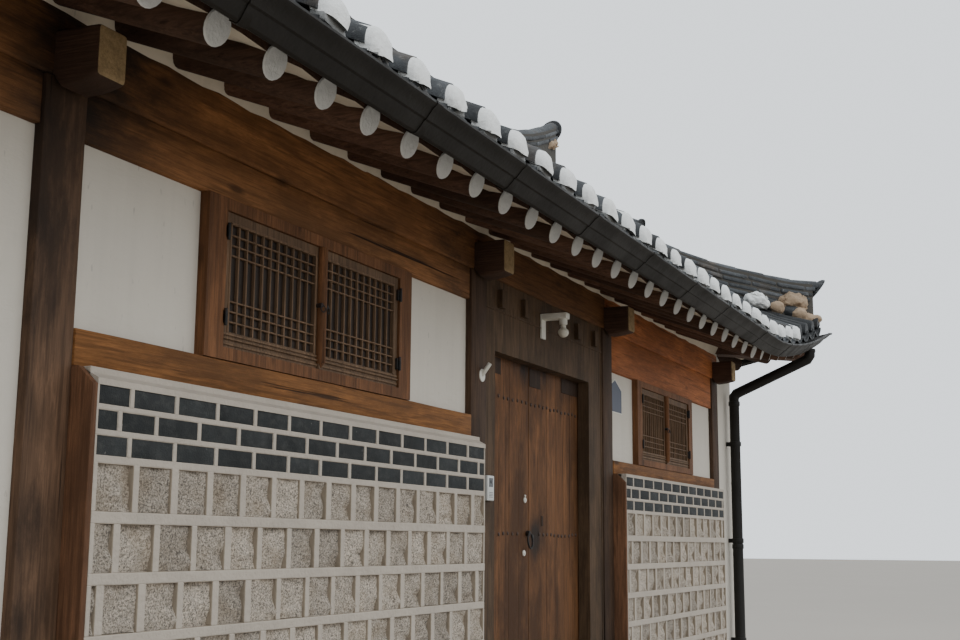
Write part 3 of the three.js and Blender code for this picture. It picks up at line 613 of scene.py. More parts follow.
def lime_finish(name, shade, cracks=1.0):
    """White lime, packed and smoothed by hand: chalky, with grey soot in its cracks. A darker copy of it
    gives the lower edge painted shade.
    """
    lime = Finish(name, shade)
    lime.mottled(0.30, 0.55, 0.05, 0.58, 0.80, (1, 1, 1), 4.0, 0.65)
    near, past = (lime.pattern(0.045, *edge, (1, 1, 1), 6.0, 0.8) for edge in ((0.485, 0.50), (0.50, 0.515)))
    line = lime.add("ShaderNodeMath", {0: near, 1: past}, operation="SUBTRACT").outputs["Value"]
    lime.coat(line, 0.22 * cracks, 0.25)
    return lime.end(0.85, lime.pattern(0.025, 0.3, 0.7), 0.003)


def painted_finish(name, shade, roughness=0.42, dirt=0.5):
    """Painted sheet metal: smooth and slightly glossy, with dust that dulls it in long clouds."""
    paint = Finish(name, shade)
    dust = paint.pattern(0.22, 0.40, 0.72, (1, 1, 1), 4.0)
    paint.coat(dust, dirt, 1.6)
    dull = paint.add("ShaderNodeMath", {0: dust, 1: 0.22, 2: roughness}, operation="MULTIPLY_ADD").outputs["Value"]
    return paint.end(dull, paint.pattern(0.02, 0.3, 0.7, (1, 1, 1), 2.0, 0.5), 0.0005, Specular_IOR_Level=0.28)


def iron_finish(name, shade, metal=0.35, rusty=0.5):
    """Hand-forged iron under old oil: near black, with rust in the hammered hollows."""
    iron = Finish(name, shade)
    iron.mottled(rusty, "#553522", 0.03, 0.5, 0.75, (1, 1, 1), 4.0, 0.7)
    return iron.end(0.62, iron.pattern(0.010, 0.3, 0.7, (1, 1, 1), 2.0, 0.5), 0.0008, Metallic=metal)


def pane_finish(name, shade):
    """Insect mesh and glass behind the lattice: nearly black as painted shade of the unlit room behind, with a dull
    even sheen.
    """
    pane = Finish(name, shade)
    pane.mottled(1.0, 2.0, 0.22, 0.35, 0.75, (1, 1, 0.6))
    weave = pane.pattern(0.0025, 0.3, 0.7, (1, 1, 1), 1.0, 0.4)
    return pane.end(0.55, weave, 0.0003, Specular_IOR_Level=0.25)


def opal_finish(name, shade, roughness=0.25):
    """Moulded plastic and opal glass: even, with a soft gloss and a trace of dust."""
    shell = Finish(name, shade)
    dust = shell.pattern(0.02, 0.5, 0.8)
    shell.coat(dust, 0.35, 0.72)
    return shell.end(roughness, dust, 0.0002)


# Each finish: how it is made, its real name, its colour and perhaps a share of it, then what the maker is given.
# A timber is given its grain's axis, weather, darkness of the weather, checks, knots, soot heights and dark patches
# (stained places, and painted shadow on the gate).
NEAR_POST_STAINS = [((POSTS[1] - 0.11, -1.40, 0.1 + 0.3 * step), 0.23) for step in range(9)]
BEAM_STAINS = [((-2.50, -1.31, 2.90), 0.62), ((-2.60, -1.31, 2.62), 0.30), ((0.35, -1.31, 2.85), 0.50)]
# a stain round the ring where hands blacken it, then three dark patches along the leaves' top edge as painted shadow
# under the header
GATE_STAINS_AND_SHADOW = [((1.555, LEAF_FACE, 1.262), 0.150), ((1.32, LEAF_FACE, 2.30), 0.20),
               ((1.75, LEAF_FACE, 2.31), 0.22), ((2.15, LEAF_FACE, 2.30), 0.26)]
RECIPES = {
    "post_pine": (timber_finish, "weathered_pine_post", "post", 1, 2, 0.70, 0.35, 1.3, 0.5, (1.7, 2.2),
                  NEAR_POST_STAINS),
    "dark_post": (timber_finish, "sooty_pine_post", "post", 0.45, 2, 0.7, 0.35, 1.0, 0.5, (1.2, 0.2)),
    "beam_pine": (timber_finish, "weathered_pine_beam", "beam", 1, 0, 0.62, 0.34, 1.2, 0.9, None, BEAM_STAINS),
    "smoked_beam": (timber_finish, "smoked_pine_beam", "beam", 0.50, 0, 0.7, 0.4, 0.8, 0.5),
    "oiled_beam": (timber_finish, "oiled_pine_beam", "oiled", 1, 0, 0.55, 0.35, 0.7, 0.8),
    "sill_pine": (timber_finish, "oiled_pine_sill", "sill", 1, 0, 0.60, 0.30, 1.0, 1.0),
    "board_pine": (timber_finish, "weathered_pine_end_board", "board", 1, 2, 0.75, 0.40, 0.8, 0.5, (1.0, 0.2)),
    "frame_pine": (timber_finish, "oiled_pine_window_frame", "window", 1, 2, 0.60, 0.35, 0.8, 0.9),
    "casement_pine": (timber_finish, "greyed_pine_casement", "casement", 1, 2, 0.45, 0.50, 0.3, 0.0),
    "lattice_pine": (timber_finish, "planed_pine_lattice", "casement", 1.15, 2, 0.3, 0.6, 0.1, 0.0),
    "gate_plank": (timber_finish, "oiled_pine_gate_plank", "gate", 1, 2, 0.90, 0.32, 0.9, 0.6, (1.7, 0.34),
                   GATE_STAINS_AND_SHADOW),
    "gate_frame": (timber_finish, "weathered_pine_gate_frame", "jamb", 1, 2, 0.80, 0.35, 1.0, 0.4, (1.4, 0.3)),
    "rafter_pine": (timber_finish, "smoked_pine_rafter", "rafter", 1, 1, 0.5, 0.50, 0.5, 0.3),
    "gable_pine": (timber_finish, "weathered_pine_gable", "rafter", 1.5, 2, 0.6, 0.4),
    "crossbeam": (end_grain_finish, "pine_crossbeam", "rafter", 0.70, 1, 1.490, "#a9906a"),
    "wall_plaster": (plaster_finish, "trowelled_lime_plaster", "plaster", 1),
    "soffit_lime": (plaster_finish, "soffit_lime_plaster", "soffit", 1, 0.8),
    "granite": (granite_finish, "pitched_granite", "granite", 1),
    "step_granite": (granite_finish, "sawn_granite_step", "granite", 0.95),
    # darker mortar on the sides of the raised joints: dirt, and painted shade at the joints' edges
    "dirty_pointing": (mortar_finish, "dirty_pointing_mortar", "#958876", 1, 0.003, 0.5),
    "pointing": (mortar_finish, "struck_pointing_mortar", "mortar", 1),
    "clay_mortar": (mortar_finish, "tan_ridge_mortar", "clay", 1, 0.005, 0.9),
    # near-black mortar in the ridges: painted shade in the gaps between the tile layers
    "dark_mortar": (mortar_finish, "sooty_ridge_mortar", "#4a4640", 1, 0.005, 0.9),
    "floor_mortar": (mortar_finish, "floor_screed", "mortar", 0.8),
    "brick": (brick_finish, "smoked_black_brick", "brick", 1),
    "tile": (tile_finish, "smoked_clay_tile", "tile", 1),
    "end_tile": (tile_finish, "smoked_end_tile", "tile", 0.35),
    "lime": (lime_finish, "packed_white_lime", "lime", 1),
    # lime at 0.30 of its colour, as painted shade on the plugs' downward faces and feet
    "sooty_lime": (lime_finish, "sooty_packed_lime", "lime", 0.30),
    "end_paint": (lime_finish, "white_limewash_end", "lime", 0.86, 0.6),
    "gutter_paint": (painted_finish, "painted_sheet_gutter", "gutter", 1, 0.55, 0.3),
    "iron": (iron_finish, "forged_black_iron", "#1d1c1b", 1),
    "stud": (iron_finish, "rusty_stud_iron", "#3a2a20", 1, 0.1, 0.9),
    "strap": (timber_finish, "oil_stained_patch", "#3d2c20", 1, 2, 0.6, 0.5, 0.5, 0.0),
    "steel": (painted_finish, "white_painted_steel", "#d8d4c8", 1, 0.4, 0.1),
    # near-black panes: painted shade of the unlit room behind the windows
    "pane": (pane_finish, "dark_glass_and_mesh", "#231b15", 1),
    "opal": (opal_finish, "opal_glass", "#c9c3b4", 1, 0.2),
    "plastic": (opal_finish, "light_grey_plastic", "#c4c4bf", 1, 0.45),
    "dark_plastic": (opal_finish, "dark_grey_plastic", "#2c2d2f", 1, 0.3),
    "blue_enamel": (opal_finish, "blue_enamel_plate", "#101b3a", 1, 0.5),
}
MADE = {}


def finish_of(name):
    """The finish of that name, made the first time that it is asked for."""
    if name not in MADE:
        maker, title, shade, share, *given = RECIPES[name]
        shade = linear(shade) if shade[0] == "#" else getattr(bpy.context.scene.house_colours, shade)
        MADE[name] = maker(title, shaded(shade, share), *given)
    return MADE[name]


# The lines of the roof


def rise(x, y):
    """How far the eave has climbed at a place, towards the corners."""
    over = np.maximum(0, (np.abs(x) - RISE_FROM) / (EAVE_X - RISE_FROM))
    return CORNER_RISE * over**1.62 * (np.abs(y) / EAVE_Y) ** 1.4


def roof_z(x, y, inset):
    """Height of the tiled surface at a place that is inset from the eave."""
    return EAVE_Z + SLOPE * inset + CURVE * inset**2 + rise(x, y)


def inset_of(x, y):
    """How far in from the nearest eave a place is."""
    side = EAVE_Y - np.abs(y)
    return np.where(np.abs(x) <= GABLE_X, side, np.minimum(side, EAVE_X - np.abs(x)))


def rafter_z(x, y, inset=None):
    """Height of the rafters' upper side at a place."""
    inset = inset_of(x, y) if inset is None else inset
    return RAFTER_LINE + RAFTER_TOP + RAFTER_SLOPE * inset + rise(x, y)


# The slope in steps of 5 mm: distance in plan from the eave, and distance up the slope
SLOPE_D = np.arange(-0.15, 2.2, 0.005)
SLOPE_V = np.cumsum(np.hypot(1, SLOPE + 2 * CURVE * SLOPE_D)) * 0.005
SLOPE_V -= np.interp(0, SLOPE_D, SLOPE_V)


def up_slope(inset):
    """Distance up the curved slope from the eave to a plan distance."""
    return float(np.interp(inset, SLOPE_D, SLOPE_V))


def laid_front(row):
    """Lays a flat row of tiles, made along y and centred on x, on the front slope at its row."""

    def rule(place):
        x, v, h = place.T
        x = x + row
        d = np.interp(v, SLOPE_V, SLOPE_D)
        if abs(row) < GABLE_X:
            beyond = (d > EAVE_X - GABLE_X) & (np.abs(x) > GABLE_X)
            x = np.where(beyond, np.sign(x) * GABLE_X, x)
        else:
            d = np.minimum(d, EAVE_X - np.abs(x) + 0.02)
        z = roof_z(x, EAVE_Y - d, d) + h * np.hypot(1, SLOPE + 2 * CURVE * d)
        return np.stack([x, d - EAVE_Y, z], 1)

    return rule


def laid_end(row):
    """Lays a flat row of tiles on the hipped slope at the right end."""

    def rule(place):
        w, v, h = place.T
        y = w + row
        d = np.interp(v, SLOPE_V, SLOPE_D)
        d = np.minimum(d, np.minimum(EAVE_Y - np.abs(y) + 0.02, EAVE_X - GABLE_X))
        z = roof_z(EAVE_X - d, y, d) + h * np.hypot(1, SLOPE + 2 * CURVE * d)
        return np.stack([EAVE_X - d, y, z], 1)

    return rule


def turned(end):
    """The end slope is laid with its rows turned a quarter, so its faces need turning round as well."""
    return Matrix.Scale(-1, 4, Vector((1, 0, 0))) if end else Matrix.Identity(4)


# Roof tiles


def cover_tile():
    """A round cover tile, wider at its lower end where it laps over the next."""
    s = sizes()
    tile = round_bar("cover_tile", s.cover_radius * 0.93, (0, s.cover_length + 0.012, -0.012), (0, 0, -0.012), 16)
    open_faces(tile)
    bpy.ops.mesh.bisect(plane_co=(0, 0, -0.014), plane_no=(0, 0, 1), use_fill=True, clear_inner=True)
    shut()
    open_faces(tile, lambda centre, normal: normal.y < -0.9)
    bpy.ops.transform.resize(value=(1.09, 1, 1.09), center_override=(0, 0, -0.014))
    shut()
    return smooth(tile, 40)


def pan_tile():
    """A hollow pan tile, tipped so that its lower end rides on the tile below."""
    s = sizes()
    half, sag = s.row_pitch / 2 - 0.004, s.pan_sag
    radius = (half**2 + sag**2) / (2 * sag)
    clear()
    bpy.ops.mesh.primitive_cylinder_add(
        vertices=32, radius=radius, depth=s.pan_step + 0.03, end_fill_type="NOTHING",
        location=(0, (s.pan_step + 0.03) / 2, radius - sag - 0.012), rotation=(math.pi / 2, 0, 0),
    )
    tile = settle(bpy.context.object, "pan_tile")
    open_faces(tile)
    bpy.ops.mesh.bisect(plane_co=(0, 0, -0.012), plane_no=(0, 0, 1), clear_outer=True)
    shut()
    shell = tile.modifiers.new("clay", "SOLIDIFY")
    shell.thickness, shell.offset = 0.016, 1.0
    pick(tile)
    bpy.ops.object.modifier_apply(modifier="clay")
    bent(tile, lambda place: place + np.stack([place[:, 0] * 0, place[:, 0] * 0,
                                               0.016 * (1 - place[:, 1] / s.pan_step)], 1))
    return smooth(facing_out(tile), 40)


def tile_rows(name, rows, reach, lay, end, seed):
    """All the tiles of a slope: each row of covers, and the pans to the right of it. The lowest tiles of the corner
    rows, which have no plugs, are made darker, as painted shade at the corners."""
    s = sizes()
    chance = random.Random(seed)
    cover, pan = cover_tile(), pan_tile()
    flip, sooty = turned(end), PLUGGED_Y if end else PLUGGED_X
    made = []
    for row in rows:
        far = up_slope(reach(row))
        row_tiles = []
        for i in range(max(1, math.ceil(far / s.cover_length))):
            shift = Matrix.Translation((chance.uniform(-0.003, 0.003), i * s.cover_length - 0.012,
                                        chance.uniform(-0.002, 0.003)))
            turn = Matrix.Rotation(chance.uniform(-0.012, 0.012), 4, "Z")
            # lowest covers of the corner rows past the plugs are darker, as painted shade
            tone = -1.3 if abs(row) > sooty and i < 2 else chance.uniform(-1, 1)
            row_tiles.append(copied(cover, flip @ shift @ turn, tone))
        made.append(bent(joined("row", row_tiles), lay(row)))
    for row in rows[:-1]:
        middle = row + s.row_pitch / 2
        far = up_slope(reach(min(abs(middle - s.row_pitch / 2), abs(middle + s.row_pitch / 2))))
        row_tiles = []
        for i in range(-1, max(1, math.ceil(far / s.pan_step))):
            start, drop = (i * s.pan_step - 0.020, 0) if i >= 0 else (-0.034, -0.017)
            shift = Matrix.Translation((0, start, drop + chance.uniform(-0.001, 0.001)))
            turn = Matrix.Rotation(chance.uniform(-0.008, 0.008), 4, "Z")
            # likewise the lowest pans there are darker, as painted shade
            tone = -1.4 if abs(middle) > sooty and i < 3 else chance.uniform(-1, 1)
            row_tiles.append(copied(pan, flip @ shift @ turn, tone))
        made.append(bent(joined("row", row_tiles), lay(middle)))
    discard(cover, pan)
    return joined(name, made)


def front_rows():
    """Places along the front of its rows of cover tiles."""
    pitch = sizes().row_pitch
    rows = (-0.033 + pitch * k for k in range(-21, 22))
    return [row for row in rows if abs(row) < EAVE_X - 0.11]


def end_rows():
    pitch = sizes().row_pitch
    return [pitch * k for k in range(-6, 7)]


def front_reach(row):
    """How far in from the eave a row of the front runs, in plan."""
    return EAVE_Y - 0.085 if abs(row) < GABLE_X else EAVE_X - abs(row)


def end_reach(row):
    return min(EAVE_X - GABLE_X, EAVE_Y - abs(row))


class HOUSE_OT_roof_tiles(bpy.types.Operator):
    """Rows of round cover tiles with pan tiles between them, on all four slopes"""

    bl_idname = "house.roof_tiles"
    bl_label = "Roof tiles"

    def execute(self, context):
        front = tile_rows("roof_tiles_front", front_rows(), front_reach, laid_front, False, 11)
        back = mirrored(front, 1, "roof_tiles_back")
        right = tile_rows("roof_tiles_right", end_rows(), end_reach, laid_end, True, 12)
        left = mirrored(right, 0, "roof_tiles_left")
        for piece in (front, back, right, left):
            done(piece, "house", "tile", replaces=["roof_cover"])
        return {"FINISHED"}


def lime_plug(seed):
    """Lime packed into the end of a cover tile: it bulges out over a foot, with a rounded top. Its downward faces
    and its foot are a darker lime, as painted shade.
    """
    wide = sizes().plug_width / 2
    plug = round_bar("lime_plug", wide, (0, 0.040, -0.010), (0, -0.026, -0.010), 20)
    open_faces(plug, lambda centre, normal: normal.y < -0.9)
    bpy.ops.mesh.inset(thickness=0.014)
    bpy.ops.transform.translate(value=(0, -0.016, 0))
    bpy.ops.mesh.inset(thickness=0.022)
    bpy.ops.transform.translate(value=(0, -0.006, 0))
    bpy.ops.mesh.select_all(action="SELECT")
    bpy.ops.mesh.bisect(plane_co=(0, 0, -0.030), plane_no=(0, 0, 1), use_fill=True, clear_inner=True)
    shut()
    roughened(plug, 0.045, 0.011, lambda place: place.y < 0.02, seed)
    foot = block("foot", (-wide * 0.93, -0.022, -0.052), (wide * 0.93, 0.040, -0.026), 0.006, 2)
    roughened(foot, 0.03, 0.008, None, seed + 20)
    # downward faces and the foot take the darker lime, as painted shade
    coated(plug, "lime", "sooty_lime", lambda face: face.normal.z < -0.4)
    painted(foot, "sooty_lime")
    return smooth(joined("lime_plug", [plug, foot]), 50)


class HOUSE_OT_eave_plugs(bpy.types.Operator):
    """White lime in the eave end of the rows of cover tiles; the rows at the corners are left open"""

    bl_idname = "house.eave_plugs"
    bl_label = "Eave lime plugs"

    def execute(self, context):
        chance = random.Random(5)
        kinds = [lime_plug(i) for i in range(6)]
        for rows, lay, end, reach, names in (
            (front_rows(), laid_front, False, PLUGGED_X, ("eave_plugs_front", "eave_plugs_back")),
            (end_rows(), laid_end, True, PLUGGED_Y, ("eave_plugs_right", "eave_plugs_left")),
        ):
            made = []
            for row in (row for row in rows if abs(row) < reach):
                size = chance.uniform(0.90, 1.05)
                place = turned(end) @ Matrix.Translation((0, -0.014 + chance.uniform(-0.008, 0.006), 0.004))
                place = place @ Matrix.Rotation(chance.uniform(-0.14, 0.14), 4, "Y") @ Matrix.Scale(size, 4)
                made.append(bent(copied(kinds[chance.randrange(6)], place), lay(row)))
            whole = joined(names[0], made)
            for piece in (whole, mirrored(whole, 0 if end else 1, names[1])):
                done(piece, "house")
        discard(*kinds)
        return {"FINISHED"}


# Ridges


def ridge_parts(run, layers, seed, foot, head):
    """A straight ridge from 0 to its length along x, with its top line at z 0: layers of half tiles that step back
    under one another at the tip, round tiles on top, and a dark end tile at the tip."""
    s = sizes()
    chance = random.Random(seed)
    flat = block("half_tile", (0.003, -0.093, -0.040), (0.297, 0.093, 0), 0.016, 3)
    top = cover_tile()
    turn = Matrix.Rotation(-math.pi / 2, 4, "Z")
    covers = [copied(top, Matrix.Translation((i * s.cover_length, chance.uniform(-0.004, 0.004), -0.064)) @ turn,
                     chance.uniform(-1, 1)) for i in range(math.ceil(run / s.cover_length))]
    rows = [(0.0, covers)]
    for layer in range(layers):
        z = -0.074 - layer * s.ridge_layer
        near, tiles = foot * 0.5 + 0.035 * layer, []
        start = near - HALF_TILE * chance.random()
        while start < run:
            place = Matrix.Translation((start, chance.uniform(-0.007, 0.007), z + chance.uniform(-0.003, 0.003)))
            tiles.append(copied(flat, place, chance.uniform(-1, 1)))
            start += HALF_TILE
        rows.append((near, tiles))
    discard(flat, top)
    body = []
    for near, tiles in rows:
        row = joined("ridge_row", tiles)
        body.append(bent(row, lambda place: np.column_stack([np.clip(place[:, 0], near, run), place[:, 1:]])))
    return joined("ridge_tiles", body), end_tile(foot, head)


def end_tile(foot, head):
    """The dark end tile of a ridge: a round-headed plate with a raised rim, its foot set in and its head out."""
    tall, wide = 0.200, 0.104
    plate = round_bar("end_tile", wide, (-0.002, 0, -wide), (-0.028, 0, -wide), 24, 0.004)
    open_faces(plate, lambda centre, normal: normal.x < -0.9)
    bpy.ops.mesh.inset(thickness=0.014)
    bpy.ops.transform.translate(value=(0.008, 0, 0))
    shut()
    cut_across(plate, 2, 7, -2 * wide, 0)

    def rule(place):
        x, y, z = place.T
        z = z * tall / (2 * wide) + 0.012
        out = head * np.clip((z + tall) / tall, 0, 1.2) ** 1.4 - foot
        return np.column_stack([x - out, y, z])

    return smooth(bent(plate, rule), 40)


def ridge_core(run, count):
    """The mortar inside a ridge, dark as painted shade in the gaps between the tile layers, from its foot at z 0 to
    its top at z 1, cut so that it can bend.
    """
    core = block("ridge_core", (0.075, -0.080, 0), (run, 0.080, 1))
    cut_across(core, 0, count, 0, run)
    cut_across(core, 2, 5, 0, 1)
    painted(core, "dark_mortar")
    return core


def along(plan, top, foot):
    """The rules that bend a straight ridge's tiles and core onto a line: plan gives x, y and the place on the line,
    and top and foot give the heights there."""

    def tiles(place):
        x, y, t = plan(place[:, 0], place[:, 1])
        return np.column_stack([x, y, top(t) + place[:, 2]])

    def core(place):
        x, y, t = plan(place[:, 0], place[:, 1])
        return np.column_stack([x, y, foot(t) + (top(t) - 0.05 - foot(t)) * place[:, 2]])

    return tiles, core


def along_hip(t_out):
    """Onto the front right hip, from the corner inwards."""

    def plan(s, w):
        t = t_out + s / math.sqrt(2)
        return EAVE_X - t - w / math.sqrt(2), -(EAVE_Y - t) - w / math.sqrt(2), t

    def roof(t):
        inner = np.maximum(t, 0)
        return roof_z(EAVE_X - inner, EAVE_Y - inner, inner)

    return along(plan, lambda t: roof(t) + 0.385 - 0.19 * np.maximum(0, t - 0.550), lambda t: roof(t) - 0.05)


def along_verge():
    """Onto the verge of the right gable, from its lower end up to the main ridge."""
    x_mid = GABLE_X - 0.095

    def roof(y):
        return roof_z(x_mid, y, EAVE_Y - y)

    return along(lambda s, w: (x_mid + w, s - 0.850, 0.850 - s),
                 lambda y: roof(y) + 0.240 + np.maximum(0, y - 0.640) * 0.5, lambda y: roof(y) - 0.05)


def along_main(reach):
    """Onto the main ridge, from its right tip to the middle; its top line climbs to the tip."""
    return along(lambda s, w: (reach - s, -w, reach - s),
                 lambda x: 4.620 + 0.400 * (np.maximum(0, np.abs(x) - 3.700) / 1.276) ** 1.5, lambda x: 4.360)


def lump(name, place, size, seed, depth=0.045):
    """A hand-packed lump of mortar about a place, rough at two scales."""
    clear()
    bpy.ops.mesh.primitive_ico_sphere_add(subdivisions=5, radius=1, location=place)
    bpy.context.object.scale = size
    piece = settle(bpy.context.object, name)
    roughened(roughened(piece, 0.09, depth, seed=seed), 0.03, depth / 3, seed=seed + 5)
    return smooth(piece, 60)


def tip_lumps():
    """Under the tip of a hip ridge: a tan lump, a white one, and small round tiles plugged with tan mortar."""
    tan = [lump("tip_lump", (0.30, 0.0, -0.232), (0.20, 0.150, 0.098), 3),
           lump("pan_lump", (0.17, 0.115, -0.385), (0.140, 0.090, 0.052), 4, 0.02),
           lump("pan_lump", (0.17, -0.115, -0.385), (0.140, 0.090, 0.052), 6, 0.02)]
    white = [lump("white_lump", (0.70, side * 0.125, -0.305), (0.115, 0.080, 0.075), 9, 0.03) for side in (1, -1)]
    dark = []
    for side in (1, -1):
        for k, spot in enumerate(((0.50, 0.125, -0.325), (0.27, 0.135, -0.350))):
            a = Vector((spot[0], side * spot[1], spot[2]))
            back = Vector((0.130, -side * 0.130, 0.060))
            dark.append(smooth(round_bar("small_tile", 0.060, a + back, a, 18, 0.006)))
            tan.append(lump("small_plug", a, (0.072, 0.072, 0.064), side + k + 4, 0.014))
    mortar, chalk, small = joined("tan", tan), joined("white", white), joined("hip_tip_tiles", dark)
    painted(mortar, "clay_mortar")
    painted(chalk, "lime")
    return joined("hip_tip_mortar", [mortar, chalk]), small


class HOUSE_OT_ridges(bpy.types.Operator):
    """Stacked-tile ridges with dark end tiles and lumps of mortar: the main ridge, four hips and four verges"""

    bl_idname = "house.ridges"
    bl_label = "Ridges"

    def execute(self, context):
        for part, run, (line, fill), layers, foot, head in (
            ("hip", 1.370 * math.sqrt(2), along_hip(0.050), 5, 0.10, 0.160),
            ("verge", 0.750, along_verge(), 3, 0.03, 0.060),
        ):
            body, end = ridge_parts(run, layers, len(part), foot, head)
            core = bent(ridge_core(run, 12), fill)
            body, end = bent(body, line), bent(end, line)
            if part == "hip":
                mortar, small = tip_lumps()
                core = joined("core", [core, bent(mortar, line)])
                body = joined("tiles", [body, bent(small, line)])
            self.at_corners(body, part + "_ridge_tiles", "tile")
            self.at_corners(end, part + "_ridge_end_tile", "end_tile")
            self.at_corners(core, part + "_ridge_mortar")
        self.main_ridge()
        return {"FINISHED"}

    def at_corners(self, piece, name, finish=None):
        """Puts a part of the front right corner at all four corners."""
        piece.name = piece.data.name = name + "_front_right"
        back = mirrored(piece, 1, name + "_back_right")
        for made in (piece, back, mirrored(piece, 0, name + "_front_left"), mirrored(back, 0, name + "_back_left")):
            done(made, "house", finish, replaces=["corner_ridge" + made.name[len(name):]])

    def main_ridge(self):
        reach = 4.962
        line, fill = along_main(reach)
        body, end = ridge_parts(reach, 2, 9, 0.03, 0.045)
        clay = lump("clay", (0.14, 0, -0.195), (0.165, 0.112, 0.072), 5)
        painted(clay, "clay_mortar")
        core = ridge_core(reach, 30)
        for piece, rule, name, finish in ((body, line, "tiles", "tile"), (core, fill, "mortar", None),
                                          (clay, line, "clay", None), (end, line, "end_tiles", "end_tile")):
            right = bent(piece, rule)
            whole = joined("main_ridge_" + name, [right, mirrored(right, 0, "left")])
            done(whole, "house", finish, replaces=["main_ridge"])


# Rafters


def rafter_line(outer, inner):
    """Both ends of a rafter, lowered until it lies under the boarding all along."""
    reach = [i / 10 for i in range(11)]
    level = [float(rafter_z(*(o + (i - o) * t for o, i in zip(outer, inner)))) - RAFTER_TOP for t in reach]
    over = max(level[0] + (level[-1] - level[0]) * t - z for t, z in zip(reach, level))
    gap = over + 0.005 if over > 1e-5 else 0.0001
    return (*outer, level[0] - gap), (*inner, level[-1] - gap)


def front_rafters():
    """Where the front rafters run: straight up the slope, and fanning out near the corners."""
    lines, y0 = [], EAVE_Y - RAFTER_END
    pitch = sizes().rafter_pitch
    for k in range(-21, 22):
        x = 0.037 + pitch * k if abs(k) < 14 else math.copysign(0.037 * (1 if k > 0 else -1) + pitch * abs(k), k)
        if abs(x) > 6.2:
            continue
        if abs(x) < FAN_X:
            lines.append(((x, -y0), (x, -0.026)))
        else:
            t = (y0 - 1.080) / (y0 - 0.300)
            focus = math.copysign(FAN_X, x)
            lines.append(((x, -y0), (x + (focus - x) * t, -(y0 + (0.300 - y0) * t))))
    return lines


def end_rafters():
    """Where the right end's rafters run: two straight in, and the others fanned."""
    x0 = EAVE_X - RAFTER_END
    lines = [((x0, y), (GABLE_X + 0.040, y)) for y in (-0.151, 0.151)]
    t = (x0 - 5.350) / (x0 - FAN_X)
    for y in (0.454, 0.757, 1.060, 1.363, 1.640):
        lines += [((x0, side * y), (x0 + (FAN_X - x0) * t, side * (y + (0.160 - y) * t))) for side in (-1, 1)]
    return lines


def rafter_pattern():
    """A round rafter a metre long with its painted outer end at z 0; it wanders a little, as a peeled trunk does."""
    radius = sizes().rafter_radius
    trunk = round_bar("rafter", radius * 0.97, (0, 0, 0), (0, 0, 1), 20)
    eased(trunk, 0.003, 1, lambda centre, normal: normal.z < -0.9)
    cut_across(trunk, 2, 7, 0.0, 1.0)
    bent(trunk, lambda place: place * np.column_stack(
        [1 + 0.03 * np.sin(place[:, 2] * 9)] * 2 + [place[:, 2] * 0 + 1]))
    coated(trunk, "rafter_pine", "end_paint", lambda face: face.normal.z < -0.3)
    return smooth(trunk, 35)


def rafters(name, lines, seed):
    """Rafters laid on their lines, each turned about itself by chance."""
    chance = random.Random(seed)
    pattern = rafter_pattern()
    made = []
    for outer, inner in lines:
        a, b = (Vector(p) for p in rafter_line(outer, inner))
        turn = (b - a).to_track_quat("Z", "Y").to_matrix().to_4x4()
        turn = turn @ Matrix.Rotation(chance.uniform(0, 6.28), 4, "Z")
        made.append(copied(pattern, Matrix.Translation(a) @ turn @ Matrix.Scale((b - a).length, 4, Vector((0, 0, 1))),
                           chance.uniform(-1, 1)))
    discard(pattern)
    return joined(name, made)


def hip_rafter():
    """The deep plank on edge over the front right corner post."""
    outs = (0.130, 0.235, 0.420, 0.620, 0.795, 1.040, 1.250, 1.440)
    root = math.sqrt(2)
    top = [(-t * root, 0, float(rafter_z(EAVE_X - t, EAVE_Y - t, t)) - 0.006) for t in outs]
    foot = [(-1.440 * root, 0, 3.120), (-1.000 * root, 0, 2.992), (-0.990 * root, 0, 2.888), (-0.130 * root, 0, 2.888)]
    plank = drawn("hip_rafter", [(x, -0.075, z) for x, _, z in top + foot], (0, 0.150, 0))
    plank.data.transform(Matrix.Translation((EAVE_X, -EAVE_Y, 0)) @ Matrix.Rotation(-math.pi / 4, 4, "Z"))
    return eased(plank, 0.004, 1, clamp_overlap=True)


def eave_board(name, reach, end):
    """The board over the rafter ends, bent to the curve of the eave."""
    board = block(name, (-reach, RAFTER_END, 0), (reach, BOARD_IN, 1))
    cut_across(board, 0, 40, -reach, reach)
    painted(board, "rafter_pine")

    def rule(place):
        s, o, q = place.T
        x, y = (EAVE_X - o, s) if end else (s, o - EAVE_Y)
        low, high = rafter_z(x, y, o) - 0.020, roof_z(x, y, o) - TILE_BED - 0.0005
        return np.column_stack([x, y, low + (high - low) * q])

    return bent(board, rule)


def soffit(name, end):
    """Lime plaster packed between the rafters, from the wall out past their ends, mitred at the corners."""
    inner = 0.485 if end else 0.800
    sheet = block(name, (-1, SOFFIT_OUT, 0), (1, inner, 1))
    cut_across(sheet, 0, 72, -1, 1)
    cut_across(sheet, 1, 7, SOFFIT_OUT, inner)

    def rule(place):
        s, o, q = place.T
        x, y = (EAVE_X - o, s * (EAVE_Y - o)) if end else (s * (EAVE_X - o), o - EAVE_Y)
        low = rafter_z(x, y, o) - 0.042 + 0.010 * np.sin((x + y) * RAFTER_WAVE) * np.sin(o * 9)
        high = rafter_z(x, y, o) + 0.002
        return np.column_stack([x, y, low + (high - low) * q])

    return smooth(bent(sheet, rule), 50)


def lime_fillet():
    """Lime packed between the rafters over the front purlin, its face leaning out over the timber."""
    wide = POSTS[-1] + 0.093
    section = [(-wide, -1.3215, 2.874), (-wide, -1.332, 2.900), (-wide, -1.350, 2.940), (-wide, -1.378, 2.985),
               (-wide, -1.250, 3.020), (-wide, -1.250, 2.925)]
    fillet = drawn("lime_fillet", section, (2 * wide, 0, 0), 110)

    def rule(place):
        x, y, z = place.T
        wave = 0.007 * np.sin(x * RAFTER_WAVE + 1.2) + 0.003 * np.sin(x * 47)
        return np.column_stack([x, y - wave * (z > 2.88), z + wave * (z < 2.88) * 0.6 + rise(x, y) * (z > 2.97)])

    return smooth(bent(fillet, rule), 40)


